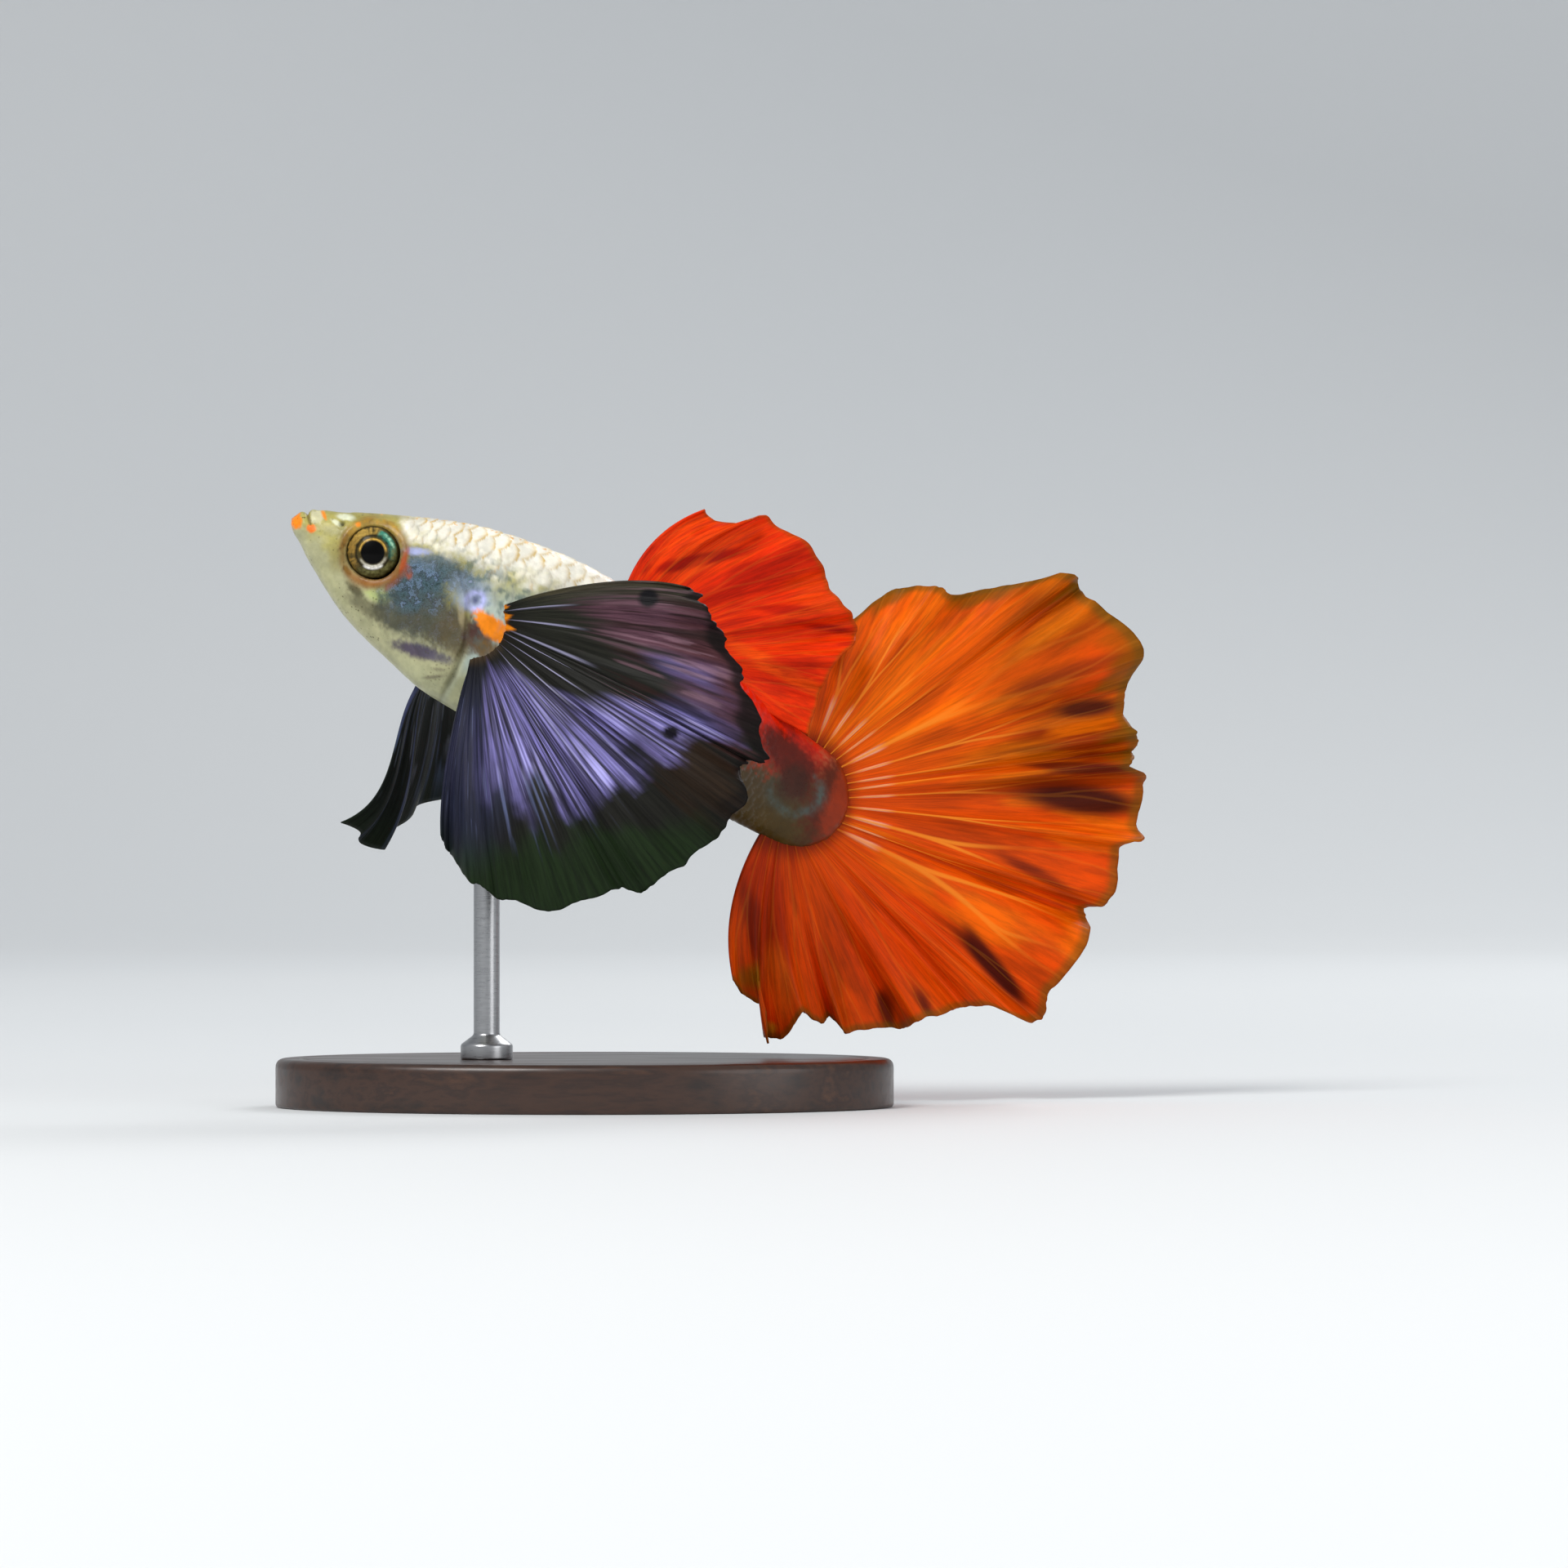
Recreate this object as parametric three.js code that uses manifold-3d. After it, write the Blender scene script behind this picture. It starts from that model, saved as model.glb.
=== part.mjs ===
// A male fancy guppy with wide pectoral fins and a half-moon tail, at life size, on a display stand.
// Millimetres, +Z up. The head points to -X and the left flank faces -Y.
// The origin is the centre of the underside of the stand's base.
// The fish is drawn straight, with w as the sideways distance from its middle plane, and bend() then
// swings its rear half to +Y.

import * as THREE from "three";
import { mergeVertices } from "three/addons/utils/BufferGeometryUtils.js";
import Module from "manifold-3d";

const wasm = await Module();
wasm.setup();

// Driving sizes
const GAP = 0.3; // between pieces that touch
const FIN_THICKNESS = { root: 0.625, tip: 0.45 };
const RAY_HEIGHT = { root: 0.16, tip: 0.064 }; // of a ray's ridge over each face of its fin
const FISH_X = -0.75; // where the straight fish stands over the base
const FISH_Y = -2;

// Each row is a section across the body, square to its middle line: the middle's x and z, the height above
// and below it, the half width, and how boxy the back is, from 0 for round to 1.
const BODY = [
  { x: -16.95, z: 36.0, up: 0.55, down: 0.35, wide: 0.7, boxy: 0.5 },
  { x: -16.6, z: 35.7, up: 1.05, down: 0.65, wide: 1.1, boxy: 0.5 },
  { x: -16.0, z: 35.25, up: 1.7, down: 0.95, wide: 1.45, boxy: 0.5 },
  { x: -15.0, z: 34.45, up: 2.5, down: 1.55, wide: 1.9, boxy: 0.55 },
  { x: -12.5, z: 32.85, up: 4.0, down: 3.0, wide: 2.55, boxy: 0.5 },
  { x: -10.0, z: 31.45, up: 5.05, down: 3.95, wide: 3.0, boxy: 0.4 },
  { x: -7.0, z: 30.1, up: 5.75, down: 5.05, wide: 3.3, boxy: 0.3 },
  { x: -4.5, z: 29.0, up: 6.0, down: 5.35, wide: 3.35, boxy: 0.2 },
  { x: -2.0, z: 27.85, up: 6.1, down: 5.1, wide: 3.2, boxy: 0.1 },
  { x: 3.0, z: 25.35, up: 5.6, down: 4.2, wide: 2.65, boxy: 0 },
  { x: 8.0, z: 22.6, up: 4.25, down: 3.5, wide: 1.95, boxy: 0 },
  { x: 12.0, z: 20.2, up: 3.55, down: 3.3, wide: 1.4, boxy: 0 },
  { x: 14.25, z: 18.85, up: 3.3, down: 3.1, wide: 1.05, boxy: 0 },
  { x: 15.5, z: 18.1, up: 2.6, down: 2.5, wide: 0.8, boxy: 0 },
  { x: 16.3, z: 17.65, up: 1.5, down: 1.45, wide: 0.6, boxy: 0 },
];
const SNOUT_TIP = { x: -17.15, z: 36.1 };
const TAIL_ROOT_TIP = { x: 16.7, z: 17.4 };

// The rear edge of the gill cover, from the nape to the throat, as x and z.
const GILL_EDGE = [
  [-8.1, 38],
  [-7.9, 35.4],
  [-6.9, 33.2],
  [-6.35, 31.0],
  [-6.45, 28.6],
  [-7.3, 26.4],
  [-9.2, 23.5],
];
const PREOPERCLE = [
  [-10.3, 32.6],
  [-10.5, 30.8],
  [-10.1, 29.0],
  [-9.2, 27.6],
];
// How far the gill cover stands out over the shoulder behind it, and the heights and lengths it fades over.
const GILL_FLARE = { out: 0.28, from: 4.5, over: 4, top: 34.5, topFade: 2.5, bottom: 25.5, bottomFade: 2 };
const GROOVE = { radius: 0.16, out: 0.12 };
const BOXY_POWER = 1.6; // how much squarer than an ellipse a boxy section is
const HALF_DEPTH = 8; // of the prisms that part the body

const EYE = { x: -12.03, z: 33.95, w: 1.85, radius: 1.62, depth: 1.15 };
const EYE_RIM = { radius: 2.0, tube: 0.3, w: 2.3 };
const NOSTRIL = { x: -13.95, z: 35.75, radius: 0.26 };

// The cleft of the upturned mouth, from its open top to its corner.
const MOUTH = { top: [-16.3, 36.9], corner: [-15.75, 35.15], open: 0.34, end: 0.12, over: 0.6 };
const LIP = { radius: 0.3, out: 0.42, sunk: 0.08, upperTurn: 118, lowerTurn: 84, points: 6 };

const PEDUNCLE_CUT = { x: 7.6, z: 22.8, lean: 5, half: 9 };

// The swing of the rear half: the slope in plan rises from one x to the next, then eases along the tail.
const SWING = { from: -4, to: 10, slope: 0.55, easeFrom: 13, easeTo: 20, tailSlope: 0.3 };

const CAUDAL = { x: 13.25, z: 19.35, root: 2.7, rays: 24, columns: 3, rows: 10 };
// The tail's margin as angle in degrees, up from +X, and distance from the tail root.
const CAUDAL_MARGIN = [
  [97, 7.7],
  [85, 9.0],
  [76, 10.4],
  [68, 11.7],
  [57.5, 15.5],
  [52, 15.9],
  [42.6, 19.1],
  [37.5, 22.5],
  [33.5, 22.5],
  [22.2, 23.7],
  [16, 22.2],
  [10, 21.9],
  [7.3, 22.4],
  [5, 21.2],
  [2, 22.6],
  [-6.6, 22.4],
  [-9.5, 21.4],
  [-19, 21.3],
  [-21, 20.2],
  [-24, 21.0],
  [-37, 20.4],
  [-42.5, 21.4],
  [-46.5, 18.5],
  [-51, 17.4],
  [-60.6, 16.2],
  [-65, 16.3],
  [-77, 15.1],
  [-80, 14.3],
  [-88, 13.7],
  [-91.5, 15.3],
  [-95, 15.3],
  [-97.5, 13.4],
  [-107, 12.3],
];
const CAUDAL_ROOT_ANGLES = [81, -124];
// A fin's ruffle: waves that grow along its rays, each with its height, its number of half turns across the
// fin, and where in its turn it starts.
const CAUDAL_RUFFLE = { growth: 1.6, waves: [[0.75, 29.8, -8.77], [0.4, 17.1, -4.04]] };
const CAUDAL_BOW = 0.9; // how far the lowest rays arch forward
// How far the first rays stand off behind the dorsal fin, and across what share of the fin that fades.
const CAUDAL_DRIFT = { out: 1.2, across: 0.16 };

const DORSAL = { rays: 9, columns: 3, rows: 8, front: [3.6, 32.35], back: [8.6, 27.6], sink: 1.0 };
// The dorsal fin's margin as x and z, from the tip of its first ray to that of its last.
const DORSAL_MARGIN = [
  [8.1, 36.75],
  [8.7, 36.1],
  [9.5, 35.9],
  [10.4, 36.15],
  [11.6, 36.45],
  [12.5, 35.6],
  [13.4, 35.0],
  [14.4, 33.85],
  [15.2, 32.75],
  [15.3, 31.9],
  [15.8, 31.0],
  [16.6, 30.25],
  [17.1, 29.4],
  [16.7, 28.6],
  [15.4, 27.6],
  [14.7, 26.3],
  [14.1, 25.1],
  [13.0, 23.8],
];

const DORSAL_RUFFLE = { growth: 1.5, waves: [[0.5, 9, 0.4]] };
const DORSAL_BOW = { height: 0.85, share: 0.7, drift: -1.7 };
const DORSAL_SINK = [0.47, 0.88]; // the way into the back, as x and z

const PECTORAL = { rays: 14, columns: 3, rows: 9, sink: 1.1 };
// The left pectoral's margin as angle and distance from its base, which lies at x and z on the flank.
const PECTORAL_BASE = { x: -5.0, z: 29.25, top: [-4.4, 30.4], bottom: [-5.5, 27.9], w: 3.1 };
const PECTORAL_LOBE = { w: 2.85, long: 1.75, thick: 0.85, broad: 1.0, tilt: 22 };
const LEFT_MARGIN = [
  [11.3, 12.7],
  [6.4, 13.3],
  [-0.6, 14.1],
  [-12.2, 16.0],
  [-24.8, 18.8],
  [-28, 17.4],
  [-34, 18.8],
  [-41.6, 18.8],
  [-50.2, 18.5],
  [-58.6, 18.4],
  [-64, 17.5],
  [-74.5, 17.6],
  [-84.8, 16.5],
  [-91.8, 15.5],
  [-98, 14.0],
  [-102, 12.9],
];
// How the left pectoral stands off the flank and arches, and where along a ray its two curve points lie.
const LEFT_CURVE = { out: 4.2, bulge: 2.6, firstOut: 2.4, over: 1.02, lift: 1.5, sag: 0.75 };
const LEFT_SHARES = [0.15, 0.68];
const LEFT_RUFFLE = { growth: 2, waves: [[0.55, 13, 0.7]] };
// The right pectoral's margin as x, w and z: its upper rays point away from the body and its lower ones down.
const RIGHT_MARGIN = [
  [-6.3, 17.2, 27.4],
  [-6.6, 18.4, 24.2],
  [-7.0, 18.0, 21.4],
  [-7.6, 16.6, 19.6],
  [-8.4, 15.4, 19.0],
  [-10.5, 14.3, 18.2],
  [-11.85, 13.2, 16.7],
  [-12.6, 12.2, 15.75],
  [-13.35, 11.2, 16.4],
  [-14.7, 10.0, 17.45],
];

// The points that pull the right pectoral's highest and lowest rays into their curves.
const RIGHT_FIRST = { highest: [-5.2, 8.2, 30.2], lowest: [-12.8, 5.6, 27.0] };
const RIGHT_SECOND = { highest: [-6.0, 13.6, 29.0], lowest: [-9.4, 8.6, 19.4] };
const RIGHT_RUFFLE = { growth: 2, waves: [[0.45, 11, 0]] };

const PELVIC = { rays: 5, columns: 3, rows: 6, sink: 0.9, front: [-3.7, 23.4], back: [-2.5, 22.9], w: 1.0 };
const PELVIC_MARGIN = [
  [-1.2, 18.2],
  [0.2, 17.6],
  [1.2, 18.4],
  [1.9, 19.6],
];
const PELVIC_SPREAD = 1.3;
const PELVIC_RUFFLE = { growth: 1, waves: [[0.15, 4, 0]] };
const ROOT_SET_BACK = 0.3; // how far a pectoral or pelvic root leans forward, as a share of its sink

// The male's anal fin, a narrow rod that points back under the belly: x, z and radius along it.
const GONOPODIUM = [
  { x: 0.4, z: 22.9, radius: 0.62 },
  { x: 1.5, z: 21.0, radius: 0.55 },
  { x: 3.2, z: 19.6, radius: 0.45 },
  { x: 4.9, z: 18.5, radius: 0.36 },
  { x: 5.9, z: 18.1, radius: 0.3 },
];

const GONOPODIUM_MESH = { sides: 8, rings: 12, flat: 0.75 };

const BASE = { length: 38, width: 24, height: 3, bevel: 0.6 };
const ROD = { radius: 0.8, collar: 1.6, collarHeight: 0.8, cone: 0.5, x: -5.2, top: 26, sides: 16 };

// Small maths

const lerp = (a, b, t) => a + (b - a) * t;
const clamp = (v, low, high) => Math.min(high, Math.max(low, v));
const radians = (degrees) => (degrees * Math.PI) / 180;

function smooth(t) {
  const c = clamp(t, 0, 1);
  return c * c * (3 - 2 * c);
}

// A monotone cubic through the values, with one value for each whole number of t.
function through(values, t) {
  const last = values.length - 1;
  const i = clamp(Math.floor(t), 0, last - 1);
  const f = clamp(t - i, 0, 1);
  const step = (k) => values[k + 1] - values[k];
  const slope = (k) => {
    if (k === 0) return step(0);
    if (k === last) return step(last - 1);
    const before = step(k - 1);
    const after = step(k);
    return before * after <= 0 ? 0 : (2 * before * after) / (before + after);
  };
  const f2 = f * f;
  const f3 = f2 * f;
  return (
    values[i] * (2 * f3 - 3 * f2 + 1) +
    slope(i) * (f3 - 2 * f2 + f) +
    values[i + 1] * (3 * f2 - 2 * f3) +
    slope(i + 1) * (f3 - f2)
  );
}

// The row of numbers that lies at share u of a list of rows.
function along(rows, u) {
  const t = u * (rows.length - 1);
  return rows[0].map((_, k) => through(rows.map((row) => row[k]), t));
}

// The bend of the body

function rise(x, from, to) {
  const t = clamp((x - from) / (to - from), 0, 1);
  return (to - from) * (t ** 3 - t ** 4 / 2) + Math.max(0, x - to);
}

function bend(x, w, z) {
  const { from, to, slope, easeFrom, easeTo, tailSlope } = SWING;
  const ease = slope - tailSlope;
  const side = slope * rise(x, from, to) - ease * rise(x, easeFrom, easeTo);
  const eased = smooth((x - easeFrom) / (easeTo - easeFrom));
  const angle = Math.atan(slope * smooth((x - from) / (to - from)) - ease * eased);
  return [x - w * Math.sin(angle) + FISH_X, side + w * Math.cos(angle) + FISH_Y, z];
}

// Solids

function solidOf(geometry) {
  const bare = geometry.index ? geometry.toNonIndexed() : geometry.clone();
  const positions = new THREE.BufferGeometry().setAttribute("position", bare.getAttribute("position"));
  const merged = mergeVertices(positions, 1e-4);
  const mesh = new wasm.Mesh({
    numProp: 3,
    vertProperties: new Float32Array(merged.attributes.position.array),
    triVerts: new Uint32Array(merged.index.array),
  });
  const solid = new wasm.Manifold(mesh);
  if (solid.volume() > 0) return solid;
  for (let i = 0; i < mesh.triVerts.length; i += 3) {
    [mesh.triVerts[i + 1], mesh.triVerts[i + 2]] = [mesh.triVerts[i + 2], mesh.triVerts[i + 1]];
  }
  return new wasm.Manifold(mesh);
}

function geometryOf(points, triangles) {
  const geometry = new THREE.BufferGeometry();
  geometry.setAttribute("position", new THREE.Float32BufferAttribute(points.flat(), 3));
  geometry.setIndex(triangles);
  return geometry;
}

// Only the largest closed surface of a solid, with any loose scrap dropped.
function largest(solid) {
  const pieces = solid.decompose();
  return pieces.reduce((best, piece) => (piece.volume() > best.volume() ? piece : best));
}

function warped(solid, map) {
  return solid.warp((v) => {
    [v[0], v[1], v[2]] = map(v[0], v[1], v[2]);
  });
}

// A prism of a polygon of x and z that reaches to both sides in w.
function prism(outline, halfWidth) {
  const shape = new THREE.Shape(outline.map(([x, z]) => new THREE.Vector2(x, z)));
  const geometry = new THREE.ExtrudeGeometry(shape, { depth: 2 * halfWidth, bevelEnabled: false });
  geometry.rotateX(Math.PI / 2);
  geometry.translate(0, halfWidth, 0);
  return solidOf(geometry);
}

function ball(x, w, z, radiusX, radiusW, radiusZ, segments) {
  const geometry = new THREE.SphereGeometry(1, segments, Math.round(segments / 2));
  geometry.rotateX(Math.PI / 2);
  geometry.scale(radiusX, radiusW, radiusZ);
  geometry.translate(x, w, z);
  return solidOf(geometry);
}

// A tube of few sides along points, with flat ends.
function tube(points, radius, sides, steps) {
  const path = new THREE.CatmullRomCurve3(points.map((p) => new THREE.Vector3(...p)));
  const section = new THREE.Shape();
  for (let i = 0; i < sides; i++) {
    const angle = (2 * Math.PI * i) / sides;
    const corner = [radius * Math.cos(angle), radius * Math.sin(angle)];
    if (i === 0) section.moveTo(...corner);
    else section.lineTo(...corner);
  }
  return solidOf(new THREE.ExtrudeGeometry(section, { steps, bevelEnabled: false, extrudePath: path }));
}

// The body's surface

const bodyValue = (key, t) => through(BODY.map((row) => row[key]), t);

function bodyFrame(t) {
  const step = 0.02;
  const x = bodyValue("x", t);
  const z = bodyValue("z", t);
  const dx = bodyValue("x", t + step) - bodyValue("x", t - step);
  const dz = bodyValue("z", t + step) - bodyValue("z", t - step);
  const length = Math.hypot(dx, dz);
  return { x, z, tangent: [dx / length, dz / length], normal: [-dz / length, dx / length] };
}

// The half width at height n over the middle line, as a share of the widest. A boxy back is a flatter curve.
function sectionShare(share, boxy) {
  const power = share > 0 ? 2 + BOXY_POWER * boxy : 2;
  return Math.pow(Math.max(0, 1 - Math.abs(share) ** power), 1 / power);
}

// A point of the skin at station t and angle round the section, from the back at 0 by the left flank at 90.
function skin(t, angle, grown) {
  const { x, z, normal } = bodyFrame(t);
  const c = Math.cos(angle);
  const height = (c > 0 ? bodyValue("up", t) : bodyValue("down", t)) + grown;
  const boxy = c > 0 ? bodyValue("boxy", t) : 0;
  const power = 2 + BOXY_POWER * boxy;
  const s = Math.abs(Math.sin(angle));
  const reach = (s ** power + Math.abs(c) ** power) ** (-1 / power);
  const n = height * c * reach;
  const w = -(bodyValue("wide", t) + grown) * Math.sin(angle) * reach;
  return [x + normal[0] * n, w, z + normal[1] * n];
}

function bodySolid(grown, sections, sides) {
  const points = [];
  const triangles = [];
  const last = BODY.length - 1;
  for (let i = 0; i <= sections; i++) {
    for (let j = 0; j < sides; j++) {
      points.push(skin((last * i) / sections, (2 * Math.PI * j) / sides, grown));
    }
  }
  const tip = ({ x, z }, [dx, dz]) => points.push([x + grown * dx, 0, z + grown * dz]) - 1;
  const [forwardX, forwardZ] = bodyFrame(0).tangent;
  const front = tip(SNOUT_TIP, [-forwardX, -forwardZ]);
  const back = tip(TAIL_ROOT_TIP, bodyFrame(last).tangent);
  for (let j = 0; j < sides; j++) {
    const k = (j + 1) % sides;
    for (let i = 0; i < sections; i++) {
      const a = i * sides + j;
      const b = i * sides + k;
      triangles.push(a, b, b + sides, a, b + sides, a + sides);
    }
    triangles.push(front, k, j);
    triangles.push(back, sections * sides + j, sections * sides + k);
  }
  return solidOf(geometryOf(points, triangles));
}

// The skin's half width at a place seen from the side.
function halfWidthAt(x, z) {
  let low = 0;
  let high = BODY.length - 1;
  for (let i = 0; i < 40; i++) {
    const middle = (low + high) / 2;
    const frame = bodyFrame(middle);
    const ahead = (x - frame.x) * frame.tangent[0] + (z - frame.z) * frame.tangent[1];
    if (ahead > 0) low = middle;
    else high = middle;
  }
  const frame = bodyFrame(low);
  const n = (x - frame.x) * frame.normal[0] + (z - frame.z) * frame.normal[1];
  const share = n > 0 ? n / bodyValue("up", low) : n / bodyValue("down", low);
  return bodyValue("wide", low) * sectionShare(share, n > 0 ? bodyValue("boxy", low) : 0);
}

// Fins

// A thin sheet over u across the rays and v along them, with a ridge on both faces at each ray.
function fin({ rays, columns, rows }, point) {
  const across = rays * columns;
  const points = [[], []];
  const at = (u, v) => new THREE.Vector3(...point(u, v));
  for (let i = 0; i <= across; i++) {
    for (let j = 0; j <= rows; j++) {
      const u = i / across;
      const v = j / rows;
      const here = at(u, v);
      const stepAcross = at(u + 0.002, v).sub(at(u - 0.002, v));
      const stepAlong = at(u, v + 0.01).sub(at(u, Math.max(0, v - 0.01)));
      const normal = stepAcross.cross(stepAlong).normalize();
      const onRay = i % columns === Math.floor(columns / 2);
      const ridge = onRay ? lerp(RAY_HEIGHT.root, RAY_HEIGHT.tip, v) : 0;
      const half = lerp(FIN_THICKNESS.root, FIN_THICKNESS.tip, v) / 2 + ridge;
      points[0].push(here.clone().addScaledVector(normal, half).toArray());
      points[1].push(here.clone().addScaledVector(normal, -half).toArray());
    }
  }
  const stride = rows + 1;
  const offset = points[0].length;
  const triangles = [];
  const quad = (a, b, c, d) => triangles.push(a, b, c, a, c, d);
  for (let i = 0; i < across; i++) {
    for (let j = 0; j < rows; j++) {
      const a = i * stride + j;
      const b = a + stride;
      triangles.push(a, b, b + 1, a, b + 1, a + 1);
      triangles.push(a + offset, b + 1 + offset, b + offset, a + offset, a + 1 + offset, b + 1 + offset);
    }
    const root = i * stride;
    quad(root, root + offset, root + stride + offset, root + stride);
    const tip = root + rows;
    quad(tip, tip + stride, tip + stride + offset, tip + offset);
  }
  for (let j = 0; j < rows; j++) {
    quad(j, j + 1, j + 1 + offset, j + offset);
    const end = across * stride + j;
    quad(end, end + offset, end + 1 + offset, end + 1);
  }
  return solidOf(geometryOf([...points[0], ...points[1]], triangles));
}

function ruffle({ growth, waves }, u, v) {
  let sum = 0;
  for (const [height, halfTurns, start] of waves) sum += height * Math.sin(halfTurns * Math.PI * u + start);
  return v ** growth * sum;
}

// An arch along a ray, 0 at both of its ends and 1 in its middle.
const arch = (v) => 4 * v * (1 - v);

const between = (a, b, t) => a.map((value, k) => lerp(value, b[k], t));

// A cubic Bezier from a to d.
function bezier(a, b, c, d, v) {
  const r = 1 - v;
  return a.map((_, k) => r ** 3 * a[k] + 3 * r * r * v * b[k] + 3 * r * v * v * c[k] + v ** 3 * d[k]);
}

function caudalPoint(u, v) {
  const [angle, reach] = along(CAUDAL_MARGIN, u);
  const rootAngle = radians(lerp(...CAUDAL_ROOT_ANGLES, u));
  const tipAngle = radians(angle);
  const root = [CAUDAL.x + CAUDAL.root * Math.cos(rootAngle), CAUDAL.z + CAUDAL.root * Math.sin(rootAngle)];
  const tip = [CAUDAL.x + reach * Math.cos(tipAngle), CAUDAL.z + reach * Math.sin(tipAngle)];
  const bow = CAUDAL_BOW * arch(v) * smooth((u - 0.75) / 0.25);
  const drift = CAUDAL_DRIFT.out * v * v * smooth(1 - u / CAUDAL_DRIFT.across);
  const [x, z] = between(root, tip, v);
  return [x - bow, drift + ruffle(CAUDAL_RUFFLE, u, v), z];
}

function dorsalPoint(u, v) {
  const { front, back, sink } = DORSAL;
  const root = between(front, back, u).map((value, k) => value - sink * DORSAL_SINK[k]);
  const bow = DORSAL_BOW.height * DORSAL_BOW.share * arch(v) * (1 - smooth(u / 0.6));
  const drift = DORSAL_BOW.drift * v * v * smooth(0.25 + u);
  const [x, z] = between(root, along(DORSAL_MARGIN, u), v);
  return [x - bow, drift + ruffle(DORSAL_RUFFLE, u, v), z + bow];
}

function pectoralRoot(u, side) {
  const { top, bottom, w } = PECTORAL_BASE;
  const [x, z] = between(top, bottom, u);
  return [x - ROOT_SET_BACK * PECTORAL.sink, side * (w - PECTORAL.sink), z];
}

function leftPectoralPoint(u, v) {
  const [angle, reach] = along(LEFT_MARGIN, u);
  const { x, z, w } = PECTORAL_BASE;
  const curve = LEFT_CURVE;
  const out = w + curve.out + curve.bulge * Math.sin(Math.PI * u);
  const tip = [x + reach * Math.cos(radians(angle)), -out, z + reach * Math.sin(radians(angle))];
  const root = pectoralRoot(u, -1);
  const lift = curve.lift * (1 - smooth(u / 0.35));
  const sag = curve.sag * smooth((u - 0.7) / 0.3);
  const [firstX, , firstZ] = between(root, tip, LEFT_SHARES[0]);
  const [secondX, , secondZ] = between(root, tip, LEFT_SHARES[1]);
  const first = [firstX - sag / 2, -w - curve.firstOut, firstZ + lift / 2];
  const second = [secondX - sag, -out * curve.over, secondZ + lift];
  const [pointX, pointW, pointZ] = bezier(root, first, second, tip, v);
  return [pointX, pointW + ruffle(LEFT_RUFFLE, u, v), pointZ];
}

function rightPectoralPoint(u, v) {
  const first = between(RIGHT_FIRST.highest, RIGHT_FIRST.lowest, u);
  first[0] = lerp(RIGHT_FIRST.highest[0], RIGHT_FIRST.lowest[0], smooth(u));
  const second = between(RIGHT_SECOND.highest, RIGHT_SECOND.lowest, u);
  const [x, w, z] = bezier(pectoralRoot(u, 1), first, second, along(RIGHT_MARGIN, u), v);
  return [x + ruffle(RIGHT_RUFFLE, u, v), w, z];
}

function pelvicPoint(side) {
  return (u, v) => {
    const { front, back, sink } = PELVIC;
    const [rootX, rootZ] = between(front, back, u);
    const [x, z] = between([rootX - ROOT_SET_BACK * sink, rootZ + sink], along(PELVIC_MARGIN, u), v);
    return [x, side * (PELVIC.w + PELVIC_SPREAD * v + ruffle(PELVIC_RUFFLE, u, v)), z];
  };
}

// Head, trunk and tail root

// The fleshy lobe that a pectoral fin spreads from.
function lobe(side, grown) {
  const { w, long, thick, broad, tilt } = PECTORAL_LOBE;
  const geometry = new THREE.SphereGeometry(1, 14, 8);
  geometry.scale(broad + grown, thick + grown, long + grown);
  geometry.rotateY(radians(tilt));
  geometry.translate(PECTORAL_BASE.x, side * w, PECTORAL_BASE.z);
  return solidOf(geometry);
}

const body = bodySolid(0, 42, 36).add(lobe(-1, 0)).add(lobe(1, 0));
const grownBody = bodySolid(GAP, 28, 24).add(lobe(-1, GAP)).add(lobe(1, GAP));

// Corners well outside the fish, for the prisms that part it.
const FAR = 30;
const HIGH = 45;
const shifted = (line, by) => line.map(([x, z]) => [x + by, z]);
const behindGill = prism([...shifted(GILL_EDGE, GAP / 2), [FAR, 0], [FAR, HIGH]], HALF_DEPTH);
const beforeGill = prism([...shifted(GILL_EDGE, -GAP / 2), [-FAR, 0], [-FAR, HIGH]], HALF_DEPTH);

function flareOfGill(x, w, z) {
  const { out, from, over, top, topFade, bottom, bottomFade } = GILL_FLARE;
  const edge = Math.max(...GILL_EDGE.map(([edgeX]) => edgeX));
  const beside = smooth((top - z) / topFade) * smooth((z - bottom) / bottomFade) * smooth(Math.abs(w) / 1.5);
  return [x, w + Math.sign(w) * out * beside * smooth((x - edge + from) / over), z];
}

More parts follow.
